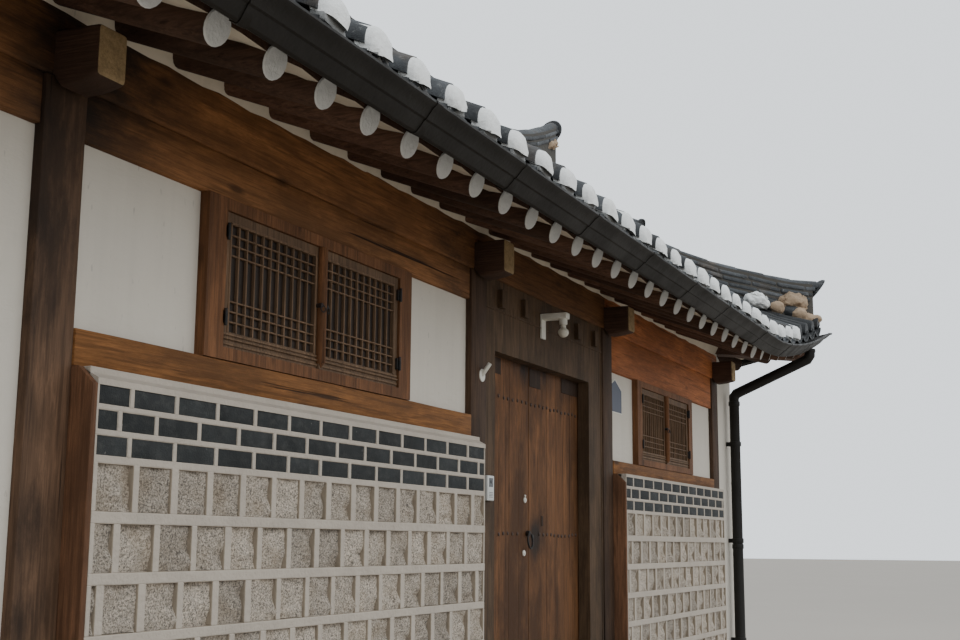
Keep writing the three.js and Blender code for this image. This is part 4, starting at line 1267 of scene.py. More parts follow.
class HOUSE_OT_rafters(bpy.types.Operator):
    """Round rafters with limewashed ends, fanned at the corners, hip rafters and eave boards"""

    bl_idname = "house.rafters"
    bl_label = "Rafters"

    def execute(self, context):
        hip = painted(hip_rafter(), "rafter_pine")
        front = joined("rafters_and_hips_front", [
            rafters("front", front_rafters(), 21), hip, mirrored(hip, 0, "hip_left"),
            eave_board("board", EAVE_X - RAFTER_END, False)])
        right = joined("rafters_end_right", [
            rafters("right", end_rafters(), 22), eave_board("board", EAVE_Y - BOARD_IN, True)])
        pairs = ((front, "rafters_front"), (mirrored(front, 1, "rafters_and_hips_back"), "rafters_back"),
                 (right, "rafters_right"), (mirrored(right, 0, "rafters_end_left"), "rafters_left"))
        for piece, node in pairs:
            done(piece, "house", replaces=[node])
        return {"FINISHED"}


class HOUSE_OT_soffit(bpy.types.Operator):
    """Lime plaster between the rafters, all round under the eave"""

    bl_idname = "house.soffit"
    bl_label = "Soffit plaster"

    def on_board(self, face):
        """The upright face behind the rafter ends is the edge of the eave board."""
        outer = abs(face.center.y) > EAVE_Y - 0.2 or abs(face.center.x) > EAVE_X - 0.2
        return outer and math.hypot(face.normal.x, face.normal.y) > 0.6

    def execute(self, context):
        front = joined("soffit_lime_front", [soffit("front", False), lime_fillet()])
        right = soffit("soffit_lime_right", True)
        for piece in (front, mirrored(front, 1, "soffit_lime_back"), right, mirrored(right, 0, "soffit_lime_left")):
            coated(piece, "soffit_lime", "rafter_pine", self.on_board)
            done(piece, "house")
        return {"FINISHED"}


# Gutter and downpipe


FRONT_SLEEVES = (-5.50, -4.60, -3.70, -2.79, -1.71, -0.90, -0.02, 0.85, 1.70, 2.50, 3.60, 4.50, 5.40)
END_SLEEVES = (-1.35, -0.45, 0.45, 1.35)


def gutter_section(grow=0.0):
    """The moulded section of the gutter as distance out from the eave and height, outside first: it slants back
    from its lip, with a bead halfway down."""
    g = 0.7 * grow
    return [(-0.065, 2.686), (-0.070 - grow, 2.683 - grow), (-0.034, 2.660 - grow), (-0.019 + g, 2.663 - g),
            (0.008 + g, 2.687 - g), (0.017 + g, 2.697 - g), (0.027 + g, 2.700 - g), (0.033 + g, 2.707 - g),
            (0.056 + g, 2.731 - g), (0.071 + grow, 2.738), (0.076 + grow, 2.744), (0.075 + grow, 2.753),
            (0.069, 2.756), (0.066, 2.750), (0.064, 2.745), (0.050, 2.733), (0.028, 2.711), (0.010, 2.700),
            (-0.020, 2.670), (-0.034, 2.666)]


def along_gutter(end):
    """Bends a straight length of gutter onto the curve of the eave, mitred at the corners."""

    def rule(place):
        s, o, z = place.T
        if end:
            x, y = EAVE_X + o, s * (EAVE_Y + o) / EAVE_Y
        else:
            x, y = s * (EAVE_X + o) / EAVE_X, -EAVE_Y - o
        reach = np.minimum(np.abs(x), EAVE_X), np.minimum(np.abs(y), EAVE_Y)
        return np.column_stack([x, y, z + rise(*reach)])

    return rule


def gutter_side(name, reach, steps, end, joints):
    """One side of the gutter between its mitred corners, with its inner lip and a sleeve over each joint."""
    run = drawn(name, [(-reach, o, z) for o, z in gutter_section()], (2 * reach, 0, 0), steps)
    lip = block("lip", (-reach, -0.070, 2.684), (reach, -0.0655, 2.800))
    cut_across(lip, 0, steps, -reach, reach)
    parts = [run, lip]
    for x in joints:
        outer = gutter_section(0.0035)[1:12]
        inner = [(o, z) for o, z in gutter_section(-0.001)[1:12]][::-1]
        parts.append(drawn("sleeve", [(x - 0.022, o, z) for o, z in outer + inner], (0.044, 0, 0)))
    return bent(joined(name, parts), along_gutter(end))


class HOUSE_OT_gutter(bpy.types.Operator):
    """Moulded gutter all round with sleeved joints, and the round downpipe with its collars and clips"""

    bl_idname = "house.gutter"
    bl_label = "Gutter and downpipe"

    def execute(self, context):
        front = gutter_side("gutter_front", EAVE_X, 80, False, FRONT_SLEEVES)
        right = gutter_side("gutter_right", EAVE_Y, 24, True, END_SLEEVES)
        sides = [front, right, mirrored(front, 1, "b"), mirrored(right, 0, "l")]
        assembled("gutter_ring", sides, 30, "gutter_paint", replaces=["gutter"])
        done(self.downpipe(), "house", "gutter_paint", replaces=["downpipe"])
        return {"FINISHED"}

    def downpipe(self):
        """The pipe follows one bent line; collars and clips are set on it."""
        x, y, out = 5.880, -1.400, -2.083
        foot = 2.660 + float(rise(x, EAVE_Y))
        route = [(x, out, foot), (x, out, foot - 0.055), (x, out + 0.025, foot - 0.092), (x, y - 0.025, 2.572),
                 (x, y, 2.540), (x, y, 0.200), (x, y - 0.008, 0.170), (x, y - 0.115, 0.066)]
        clear()
        line = bpy.data.curves.new("pipe_line", "CURVE")
        line.dimensions = "3D"
        spline = line.splines.new("POLY")
        spline.points.add(len(route) - 1)
        for point, place in zip(spline.points, route):
            point.co = (*place, 1)
        line.bevel_depth, line.bevel_resolution, line.use_fill_caps = 0.0465, 6, True
        pipe = bpy.data.objects.new("pipe", line)
        bpy.context.collection.objects.link(pipe)
        pick(pipe)
        bpy.ops.object.convert(target="MESH")
        parts = [bpy.context.object]
        for low, tall, at in ((2.460, 0.040, y), (1.200, 0.040, y), (0.220, 0.040, y), (foot - 0.030, 0.030, out)):
            parts.append(round_bar("collar", 0.0505, (x, at, low + tall), (x, at, low), 28, 0.004))
        for z in (0.400, 1.250, 2.100):
            parts.append(round_bar("clip", 0.052, (x, y, z), (x, y, z + 0.040), 28, 0.004))
            parts.append(block("clip_foot", (x - 0.018, y - 0.002, z + 0.002), (x + 0.018, -1.3205, z + 0.038), 0.003))
        return smooth(joined("downpipe_round", parts), 40)


# Fire walls


def rough_stone(seed):
    """A granite block with a pitched face, half a millimetre under its mortar all round."""
    s = sizes()
    w, h = s.stone_pitch / 2 - 0.014, s.stone_row / 2 - 0.014
    stone = block("stone", (-w, 0, -h), (w, 0.030, h))
    open_faces(stone, lambda centre, normal: normal.y < -0.9)
    bpy.ops.mesh.inset(thickness=0.006)
    bpy.ops.mesh.subdivide(number_cuts=5)
    shut()
    inside = lambda place: abs(place.x) < w - 0.002 and abs(place.z) < h - 0.002 and place.y < 0.001
    roughened(stone, 0.055, 0.020, inside, seed)
    return smooth(roughened(stone, 0.020, 0.010, inside, seed + 9), 20)


def brick():
    """A brick with eased arrises, its back held in the mortar."""
    s = sizes()
    w = (s.brick_length - 0.020) / 2
    return block("brick", (-w, 0, -s.brick_height / 2), (w, 0.030, s.brick_height / 2), 0.003, 2)


def joints_of(starts, pitch, width):
    """Upright joints of a row: those given first, then one at every pitch, to the end of the wall."""
    joints = list(starts)
    while joints[-1] + pitch < width - 0.05:
        joints.append(joints[-1] + pitch)
    return joints


class HOUSE_OT_fire_walls(bpy.types.Operator):
    """Fire walls of rough granite and black brick, set in raised mortar"""

    bl_idname = "house.fire_walls"
    bl_label = "Fire walls"

    def execute(self, context):
        for bay in FIRE_WALLS:
            self.wall(bay)
        return {"FINISHED"}

    def wall(self, bay):
        """Three rows of bricks over rows of stones, each row with its upright joints and then the band under it."""
        s = sizes()
        x0, x1, brick_top, stone_top, top = FIRE_WALLS[bay]
        chance = random.Random(bay)
        stones, bricks, bands = [], [], []
        kinds = [rough_stone(i) for i in range(6)]
        pattern = brick()

        def band(a, b, c, d):
            wobble = chance.uniform(-0.0015, 0.0015)
            bands.append(block("band", (a, FIRE_FACE + wobble, c), (b, FIRE_BACK + 0.01, d), 0.005, 2))

        def fill(pattern, a, b, z, width, out, made):
            place = Matrix.Translation(((a + b) / 2, out, z)) @ Matrix.Scale((b - a) / width, 4, Vector((1, 0, 0)))
            made.append(copied(pattern, place, chance.uniform(-1, 1)))

        for row in range(3):
            z1 = brick_top - row * s.brick_row
            z0 = z1 - s.brick_height
            joints = [j + x0 for j in joints_of(BRICK_JOINTS[row], s.brick_length, x1 - x0)]
            ends = [x0, *joints, x1]
            for a, b in zip(ends, ends[1:]):
                fill(pattern, a + 0.010, b - 0.010, (z0 + z1) / 2, s.brick_length - 0.020, FIRE_FACE + 0.004, bricks)
            for j in joints:
                band(j - 0.0105, j + 0.0105, z0 - 0.004, z1 + 0.004)
            if row:
                band(x0, x1, z1 - 0.001, lower + 0.001)
            lower = z0
        band(x0, x1, stone_top - 0.001, lower + 0.001)
        row, z1 = 0, stone_top
        while z1 > 0.02:
            z0 = max(0.0, z1 - (s.stone_row - s.joint))
            joints = [j + x0 for j in joints_of([STONE_STARTS[row % 8]], s.stone_pitch, x1 - x0)]
            ends = [x0, *joints, x1]
            middle = z1 - (s.stone_row - s.joint) / 2
            for a, b in zip(ends, ends[1:]):
                kind = kinds[chance.randrange(6)]
                fill(kind, a + 0.002, b - 0.002, middle, s.stone_pitch - 0.028, STONE_BED, stones)
            for j in joints:
                half = 0.0185 + chance.uniform(-0.003, 0.002)
                band(j - half, j + half, max(0.0, z0 - 0.004), z1 + 0.004)
            for a, b in ((x0, x0 + 0.022), (x1 - 0.016, x1)):
                band(a, b, max(0.0, z0 - 0.004), z1 + 0.004)
            if z0 > 0.001:
                low = max(0.0, z0 - s.joint + chance.uniform(-0.002, 0.002))
                band(x0, x1, low, z0 + chance.uniform(-0.002, 0.002))
            row, z1 = row + 1, z1 - s.stone_row
        for a, b in ((x0, x0 + 0.012), (x1 - 0.010, x1)):
            band(a, b, stone_top, brick_top + 0.004)
        discard(*kinds, pattern)
        bands.append(block("backing", (x0, FIRE_BACK, 0), (x1, -1.149, top - 0.0003), 0.002))
        shoulder = [(x0, FIRE_BACK, brick_top - 0.002), (x0, FIRE_FACE, brick_top - 0.002),
                    (x0, FIRE_FACE, brick_top + 0.018), (x0, -1.332, top - 0.0005),
                    (x0, FIRE_BACK + 0.06, top - 0.0005)]
        bands.append(drawn("shoulder", shoulder, (x1 - x0, 0, 0), 12))
        # The sides, tops and undersides of the raised joints get the darker mortar: dirt, and painted shade at their
        # edges.
        mortar = coated(joined(f"fire_wall_mortar_{bay}", bands), "pointing", "dirty_pointing", lambda face: (
            abs(face.normal.y) < 0.6 and face.center.y < FIRE_BACK and face.center.z < stone_top))
        rocks = bent(joined(f"fire_wall_stones_{bay}", stones), lambda place: np.maximum(place, (-99, -99, 0)))
        rows = smooth(joined(f"fire_wall_bricks_{bay}", bricks), 30)
        for piece, finish in ((mortar, None), (rocks, "granite"), (rows, "brick")):
            done(piece, "house", finish, replaces=[f"fire_wall_{bay}"])


# Timber frame


class HOUSE_OT_timbers(bpy.types.Operator):
    """Posts, lintels, sills and end boards with eased arrises and hand-planed faces"""

    bl_idname = "house.timbers"
    bl_label = "Posts, lintels and sills"

    def execute(self, context):
        posts = [f"front_post_{i}" for i in range(5)]
        groups = (
            (posts[:2], 2, "post", "post_pine", 0.008),
            (posts[2:], 2, "post", "dark_post", 0.008),
            (["lintel_0", "lintel_1"], 0, "beam", "beam_pine", 0.006),
            (["lintel_3"], 0, "beam", "oiled_beam", 0.006),
            (["sill_1", "sill_3"], 0, "sill", "sill_pine", 0.007),
            (["end_board_1", "end_board_3"], 2, "board", "board_pine", 0.004),
        )
        for nodes, axis, slot, finish, ease in groups:
            for i, node in enumerate(nodes):
                self.timber(node, axis, slot, finish, ease, i)
        return {"FINISHED"}

    def timber(self, node, axis, slot, finish, ease, seed):
        """A squared timber the size of its node; the end boards' top corner to the street is cut off."""
        low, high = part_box(node)
        if slot == "board":
            cut = high.z - 0.058
            outline = [(low.x, low.y, low.z), (low.x, low.y, cut), (low.x, low.y + 0.062, high.z),
                       (low.x, high.y, high.z), (low.x, high.y, low.z)]
            piece = eased(drawn("planed_" + node, outline, (high.x - low.x, 0, 0)), ease)
        else:
            piece = block("planed_" + node, low, high, ease, 2)
        cut_across(piece, axis, 14, low[axis], high[axis])
        roughened(piece, 0.35, 0.002, lambda place: low[axis] + 0.01 < place[axis] < high[axis] - 0.01, seed)
        done(smooth(piece, 30), "house", finish, replaces=[node])


class HOUSE_OT_beams(bpy.types.Operator):
    """Purlins over the front and back posts, and the crossbeams whose shaped ends stand out under the eave"""

    bl_idname = "house.beams"
    bl_label = "Purlins and crossbeams"

    def execute(self, context):
        wide = POSTS[-1] + 0.0946
        section = [(-wide, STREET_FACE, BEAM_FOOT), (-wide, STREET_FACE, PURLIN_OUTER), (-wide, -1.130, PURLIN_INNER),
                   (-wide, -1.130, BEAM_FOOT)]
        front = eased(drawn("hewn_purlin_front", section, (2 * wide, 0, 0)), 0.012, 3)
        cut_across(front, 0, 48, -wide, wide)
        smooth(roughened(front, 0.40, 0.005, lambda place: abs(place.x) < wide - 0.02, 2), 30)
        for piece, node in ((front, "front_purlin"), (mirrored(front, 1, "hewn_purlin_back"), "back_purlin")):
            painted(piece, "beam_pine", "smoked_beam", "oiled_beam")
            for face in piece.data.polygons:
                face.material_index = 0 if face.center.x < POSTS[2] else 1 if face.center.x < POSTS[3] else 2
            done(piece, "house", replaces=[node])
        for i, x in enumerate(POSTS):
            parts = [self.bar(x, i)]
            if 0 < i < 4:
                parts.append(block("belly", (x - 0.085, -1.100, BEAM_FOOT), (x + 0.085, 1.100, 2.860), 0.012, 2))
                parts.append(block("king_post", (x - 0.070, -0.075, 2.850), (x + 0.070, 0.075, 3.196), 0.006, 2))
            else:
                near, far = 5.404 * np.sign(x), 5.5945 * np.sign(x)
                corners = ((near, BEAM_FOOT), (far, BEAM_FOOT), (far, PURLIN_OUTER), (near, PURLIN_INNER))
                parts.append(drawn("end_purlin", [(a, -1.1295, z) for a, z in corners], (0, 2.259, 0)))
            assembled(f"shaped_crossbeam_{i}", parts, 30, "crossbeam", replaces=[f"crossbeam_{i}"])
        return {"FINISHED"}

    def bar(self, x, seed):
        """The bar from eave to eave: outside the posts its heads are deeper, narrow a little and curve up below."""
        bar = block("bar", (x - 0.070, -BEAM_END, BEAM_FOOT), (x + 0.070, BEAM_END, BEAM_TOP), 0.014, 3)
        cut_across(bar, 1, 100, -BEAM_END, BEAM_END)

        def rule(place):
            end = np.clip((np.abs(place[:, 1]) - 1.335) / 0.161, 0, 1)
            deep = np.clip((np.abs(place[:, 1]) - 1.323) / 0.022, 0, 1)
            low = (BEAM_TOP - place[:, 2]) / (BEAM_TOP - BEAM_FOOT)
            return np.column_stack([x + (place[:, 0] - x) * (1 - 0.07 * end), place[:, 1],
                                    place[:, 2] + (0.020 * end**2 - 0.042 * deep) * low])

        bent(bar, rule)
        return roughened(bar, 0.12, 0.005, lambda place: 1.33 < abs(place.y) < 1.49, seed)


# Windows


# A casement: widths of its stiles and rails, upright bars, cross bars, and the mouldings of its foot rail, each as
# height, width and how far it stands out; then the hinges' heights over the foot and under the head
STILE, FOOT_RAIL, HEAD_RAIL = 0.042, 0.062, 0.044
BARS, CROSS_BARS, CROSS_STEP = 10, 3, 0.095
MOULDINGS = ((0.052, 0.010, 0.006), (0.036, 0.008, 0.010), (0.016, 0.010, 0.006))
HINGE_FOOT, HINGE_HEAD = 0.085, 0.105


def lattice(x0, x1, z0, z1, side, bar, meet):
    """Lattices, panes, ironwork and astragal of a pair of casements, on the street side at the frame's own depth."""
    face, half = STREET_FACE + 0.004, sizes().lattice_bar / 2
    left, right = x0 + side + 0.002, x1 - side - 0.002
    bottom, top = z0 + bar + 0.0003, z1 - bar - 0.002
    wood, panes, iron = [], [], []

    def strip(kind, a, b, low, high, front, back, ease=0.0012, steps=1):
        kind.append(block("strip", (a, face + front, low), (b, face + back, high), ease, steps))

    for a, b, outer in ((left, meet, left), (meet, right, right)):
        f0, f1, g0, g1 = a + STILE, b - STILE, bottom + FOOT_RAIL, top - HEAD_RAIL
        strip(panes, f0 + 0.0005, f1 - 0.0005, g0 + 0.0005, g1 - 0.0005, 0.0145, 0.0155, 0.0003)
        for i in range(BARS):
            x = f0 + (f1 - f0) / (BARS + 1) * (i + 1)
            strip(wood, x - half, x + half, g0, g1, 0.001, 0.0145)
        for i in range(CROSS_BARS):
            off = (g1 - g0) * CROSS_STEP * (i + 1)
            for z in (g1 - off, g0 + off):
                strip(wood, f0, f1, z - half * 0.8, z + half * 0.8, 0.0002, 0.0135)
        for up, tall, out in MOULDINGS:
            strip(wood, a + 0.004, b - 0.004, bottom + up - tall / 2, bottom + up + tall / 2, -out, 0.002, 0.003, 2)
        for x in (f0 - 0.010, f1):
            strip(wood, x, x + 0.010, g0 - 0.004, g1 + 0.008, -0.004, 0.002, 0.002)
        strip(wood, f0 - 0.010, f1 + 0.010, g1, g1 + 0.010, -0.004, 0.002, 0.002)
        hinge = outer - (0.010 if outer == left else 0.012)
        for z in (bottom + HINGE_FOOT, top - HINGE_HEAD):
            strip(iron, hinge - 0.003, hinge + 0.025, z, z + 0.052, -0.012, 0.002, 0.003, 2)
            pin = (hinge + 0.011, STREET_FACE - 0.013)
            iron.append(smooth(round_bar("pin", 0.0065, (*pin, z - 0.006), (*pin, z + 0.058), 10, 0.002)))
    thick = 0.022 if right - left > 1 else 0.013
    rod = round_bar("astragal", thick, (meet, face - 0.010, bottom + 0.03), (meet, face - 0.010, top), 16)
    open_faces(rod, lambda centre, normal: normal.z < -0.9)
    bpy.ops.mesh.extrude_region_move(TRANSFORM_OT_translate={"value": (0, 0, -0.028)})
    bpy.ops.transform.resize(value=(0.12, 0.25, 1), center_override=(meet, face - 0.006, 0))
    shut()
    for off in (-0.020, 0.020):
        x, z = meet + off, (bottom + top) / 2 - 0.006
        iron.append(pull_ring(0.015, 0.0022, (x, face - 0.030, z), 0.15, off * 8, (20, 8)))
        iron.append(smooth(boss(0.010, x, z + 0.014, face + 0.001, face - 0.028, 12, 0.003)))
    return joined("lattice", wood), joined("panes", panes), joined("ironwork", iron), smooth(rod, 35)


class HOUSE_OT_windows(bpy.types.Operator):
    """Lattices, dark panes, mouldings, astragals, ring pulls and hinges of the five windows"""

    bl_idname = "house.windows"
    bl_label = "Windows"

    def execute(self, context):
        finishes = {"lattice": "lattice_pine", "panes": "pane", "ironwork": "iron", "astragal": "frame_pine"}
        for name, *shape, side in WINDOWS:
            for part, (kind, finish) in zip(lattice(*shape), finishes.items()):
                if side > 0:
                    part.data.transform(Matrix.Scale(-1, 4, Vector((0, 1, 0))))
                    part.data.flip_normals()
                part.name = part.data.name = f"window_{name}_{kind}"
                done(part, "house", finish)
        return {"FINISHED"}


# Gate


class HOUSE_OT_gate(bpy.types.Operator):
    """Plank leaves of the gate with battens, studs, oily patches, ring, bolt and locks, each on its own leaf"""

    bl_idname = "house.gate"
    bl_label = "Gate leaves"

    def execute(self, context):
        for side in LEAVES:
            self.leaf(side)
        self.bead()
        return {"FINISHED"}

    def leaf(self, side):
        s = sizes()
        x0, x1, seen0, seen1 = LEAVES[side]
        chance = random.Random(side)
        body = side + "_gate_leaf"
        count = round((x1 - x0) / s.plank)
        wide = (x1 - x0) / count
        boards = []
        for i in range(count):
            a = x0 + wide * i
            plank = block("plank", (a + 0.0003, LEAF_FACE + chance.uniform(0, 0.0008), LEAF_FOOT),
                          (a + wide - 0.0003, LEAF_BACK, LEAF_TOP), 0.0015, 1)
            boards.append(copied(plank, Matrix.Identity(4), chance.uniform(-0.3, 0.3)))
            discard(plank)
        b0, b1 = (x0 + 0.100, x1 - 0.030) if side == "left" else (x0 + 0.030, x1 - 0.100)
        for z in BATTENS:
            boards.append(block("batten", (b0, LEAF_BACK - 0.001, z), (b1, BATTEN_BACK, z + 0.090), 0.004, 2))
        pivot = x0 + 0.005 if side == "left" else x1 - 0.005
        middle = (LEAF_FACE + LEAF_BACK) / 2
        for a, b in ((0.1703, 0.230), (2.225, 2.2947)):
            boards.append(round_bar("pivot", 0.011, (pivot, middle, a), (pivot, middle, b), 16))
        done(joined("gate_planks_" + side, boards), body, "gate_plank",
             replaces=["gate_leaf_" + side])
        studs, iron = self.studs(seen0, seen1, chance), self.iron(side)
        patches = [block("patch", (a, LEAF_FACE - 0.003, low), (b, LEAF_FACE + 0.001, high), 0.0015)
                   for a, b, low, high in PATCHES[side]]
        for kind, parts in (("stud", studs), ("iron", iron), ("strap", patches)):
            assembled(f"gate_{kind}_{side}", parts, 40, kind, body)
        if side == "left":
            assembled("gate_locks", self.locks(), 40, "steel", body)

    def studs(self, x0, x1, chance):
        """Three uneven rows of dome-headed studs, left out round the ring."""
        studs, count = [], round((x1 - x0 - 0.06) / 0.066)
        for row, z in enumerate(STUD_ROWS):
            for i in range(count + 1):
                x = x0 + 0.035 + (x1 - x0 - 0.07) * i / count + chance.uniform(-0.006, 0.006)
                if row != RING_ROW or abs(x - LEAF_MEET) >= 0.11:
                    studs.append(self.stud(x, z + chance.uniform(-0.005, 0.005)))
        return studs

    def stud(self, x, z):
        """A round disc drawn in and raised to its crown."""
        head = boss(sizes().stud, x, z, LEAF_FACE + 0.002, LEAF_FACE - 0.002, 10)
        open_faces(head, lambda centre, normal: normal.y < -0.9)
        bpy.ops.mesh.extrude_region_move(TRANSFORM_OT_translate={"value": (0, -0.004, 0)})
        bpy.ops.transform.resize(value=(0.6, 1, 0.6), center_override=(x, LEAF_FACE, z))
        shut()
        return head

    def iron(self, side):
        """A ring on its boss on the left leaf, and a small bolt on the right one."""
        if side == "right":
            return [boss(0.012, LEAF_MEET + 0.060, 1.272, LEAF_FACE + 0.002, LEAF_FACE - 0.006, 12, 0.003)]
        x = LEAF_MEET - 0.030
        return [boss(0.016, x, 1.290, LEAF_FACE + 0.002, LEAF_FACE - 0.022, 16, 0.004),
                pull_ring(0.044, 0.0055, (x, LEAF_FACE - 0.024, 1.248), 0.08, 0.08, (28, 10))]

    def locks(self):
        """Two round locks with their barrels, and a keyhole's cover over the upper one."""
        parts = [boss(0.007, LOCKS[0][0], 1.504, LEAF_FACE + 0.001, LEAF_FACE - 0.008, 14, 0.002)]
        for x, z, radius in LOCKS:
            parts.append(boss(radius, x, z, LEAF_FACE + 0.002, LEAF_FACE - 0.007, 20, 0.002))
            parts.append(boss(radius * 0.5, x, z, LEAF_FACE, LEAF_FACE - 0.011, 16, 0.002))
        return parts

    def bead(self):
        """Mouldings of the gate frame: the line under the lintel and the jambs' inner beads."""
        low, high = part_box("gate_frame")
        face = -1.306
        parts = [block("line", (low.x + 0.002, face - 0.006, 2.488), (high.x - 0.002, face + 0.003, 2.498), 0.002, 2)]
        for x in (0.6235, 2.500):
            parts.append(block("bead", (x, face - 0.004, 0.240), (x + 0.018, face + 0.003, 2.655), 0.002, 2))
        done(joined("gate_frame_beads", parts), "house", "gate_frame")


# Gables


class HOUSE_OT_gables(bpy.types.Operator):
    """Upright boards and barge boards of the gables, with short verge tiles over them"""

    bl_idname = "house.gables"
    bl_label = "Gables"

    def execute(self, context):
        boards = []
        for i in range(-5, 6):
            y = i * 0.096
            board = block("board", (GABLE_FACE + 0.0002, y - 0.0470, 0), (GABLE_FACE + 0.012, y + 0.0470, 1))
            boards.append(bent(board, self.under_verge))
        for side in (-1, 1):
            barge = block("barge", (GABLE_FACE, 0, 0), (GABLE_FACE + 0.030, BARGE_REACH, 1))
            cut_across(barge, 1, 10, 0, BARGE_REACH)
            barge = bent(barge, self.barge)
            boards.append(barge if side > 0 else mirrored(barge, 1, "barge"))
            if side < 0:
                discard(barge)
        right = joined("gable_boards_right", boards)
        for piece in (right, mirrored(right, 0, "gable_boards_left")):
            done(piece, "house", "gable_pine")
        self.verge_tiles()
        return {"FINISHED"}

    def verge(self, y):
        """Height of the gable's edge under its tiles."""
        return roof_z(GABLE_X, y, EAVE_Y - np.abs(y)) - TILE_BED

    def under_verge(self, place):
        """Stretches an upright board from the end slope up to the verge."""
        low = roof_z(GABLE_X, place[:, 1] * 0, EAVE_X - GABLE_X) - 0.02
        high = np.maximum(self.verge(place[:, 1]) - 0.004, low + 0.002)
        return np.column_stack([place[:, 0], place[:, 1], low + (high - low) * place[:, 2]])

    def barge(self, place):
        """Bends a barge board along the verge."""
        high = self.verge(place[:, 1]) + 0.055
        return np.column_stack([place[:, 0], place[:, 1], high - BARGE_DEPTH + BARGE_DEPTH * place[:, 2]])

    def verge_tiles(self):
        """Short cover tiles laid across the verge, four to a side."""
        chance = random.Random(8)
        tile = cover_tile()
        made = []
        turn = Matrix.Rotation(math.pi / 2, 4, "Z") @ Matrix.Rotation(math.pi, 4, "Z")
        for k in range(4):
            y = 0.085 + 0.152 * k
            slope = math.atan(SLOPE + 2 * CURVE * (EAVE_Y - y))
            for side in (-1, 1):
                place = Matrix.Translation((5.03, side * y, float(self.verge(y)) + 0.052))
                place = place @ Matrix.Rotation(math.pi, 4, "Z") @ Matrix.Rotation(side * slope, 4, "X") @ turn
                place = place @ Matrix.Diagonal((0.85, 0.75, 0.85, 1))
                made.append(copied(tile, place, chance.uniform(-1, 1)))
        discard(tile)
        right = joined("verge_tiles_right", made)
        for piece in (right, mirrored(right, 0, "verge_tiles_left")):
            done(piece, "house", "tile")


# Fittings on the street side


class HOUSE_OT_fittings(bpy.types.Operator):
    """Lamp, flag holder, door intercom and bare address plate"""

    bl_idname = "house.fittings"
    bl_label = "Street fittings"

    def execute(self, context):
        self.lamp()
        self.flag_holder()
        self.intercom()
        self.plate()
        return {"FINISHED"}

    def lamp(self):
        """A bulb that hangs from a flat arm on a plate."""
        x, wall = 1.4575, GATE_FACE
        hang = wall - 0.135
        assembled("lamp_bracket", [
            block("plate", (x - 0.0325, wall - 0.012, 2.430), (x + 0.0325, wall, 2.576), 0.003, 2),
            block("arm", (x - 0.0305, wall - 0.165, 2.542), (x + 0.0305, wall - 0.002, 2.578), 0.004, 2),
            round_bar("cup", 0.024, (x, hang, 2.545), (x, hang, 2.508), 20, 0.004),
            boss(0.004, x, 2.500, wall - 0.011, wall - 0.015, 12, 0.001),
        ], 40, "steel")
        neck = round_bar("neck", 0.016, (x, hang, 2.512), (x, hang, 2.482), 20, 0.002)
        clear()
        bpy.ops.mesh.primitive_uv_sphere_add(segments=24, ring_count=14, radius=0.032, location=(x, hang, 2.463))
        bulb = settle(bpy.context.object, "bulb")
        open_faces(bulb, lambda centre, normal: centre.z > 2.480)
        bpy.ops.transform.resize(value=(0.75, 0.75, 1.5), center_override=(x, hang, 2.480))
        shut()
        assembled("lamp_bulb", [bulb, neck], 50, "opal")

    def flag_holder(self):
        """A short open tube that slants up from a disc on the post."""
        disc = boss(0.034, 0.560, 2.105, STREET_FACE + 0.0005, STREET_FACE - 0.006, 28, 0.002)
        tube = round_bar("tube", 0.011, (0.560, STREET_FACE - 0.002, 2.105), (0.552, -1.372, 2.165), 18, 0.0015)
        open_faces(tube, lambda centre, normal: normal.z > 0.6 and centre.z > 2.16)
        bpy.ops.mesh.inset(thickness=0.002)
        bpy.ops.transform.translate(value=(0.0064, 0.040, -0.048))
        shut()
        assembled("flag_holder", [disc, tube], 40, "steel")

    def intercom(self):
        """A grey case with a dark eye over four slots."""
        wall = GATE_FACE
        case = block("intercom_case", (0.628, wall - 0.022, 1.453), (0.712, wall, 1.585), 0.005, 3)
        assembled("intercom_case", [case], 40, "plastic")
        eye = block("eye", (0.646, wall - 0.024, 1.525), (0.694, wall - 0.0215, 1.572), 0.001)
        lens = boss(0.009, 0.670, 1.552, wall - 0.023, wall - 0.027, 18, 0.0015)
        slots = [block("slot", (0.648, wall - 0.0235, z), (0.692, wall - 0.0215, z + 0.003), 0.0006)
                 for z in (1.470, 1.478, 1.486, 1.494)]
        done(joined("intercom_front", [eye, lens, *slots]), "house", "dark_plastic")

    def plate(self):
        """A plate with a pointed top, bare."""
        wall, left, right, peak = -1.2855, 2.708, 2.998, 2.853
        outline = [(left, wall, 2.121), (right, wall, 2.121), (right, wall, 2.288), (peak, wall, 2.356),
                   (left, wall, 2.288)]
        sheet = drawn("address_plate", outline, (0, -0.005, 0))
        open_faces(sheet, lambda centre, normal: normal.y < -0.9)
        bpy.ops.mesh.inset(thickness=0.007)
        bpy.ops.mesh.extrude_region_move(TRANSFORM_OT_translate={"value": (0, -0.0012, 0)})
        shut()
        coated(sheet, "steel", "blue_enamel",
               lambda face: face.normal.y < -0.9 and face.center.y < wall - 0.0055)
        done(sheet, "house")


# Finishes of the frame nodes that stay


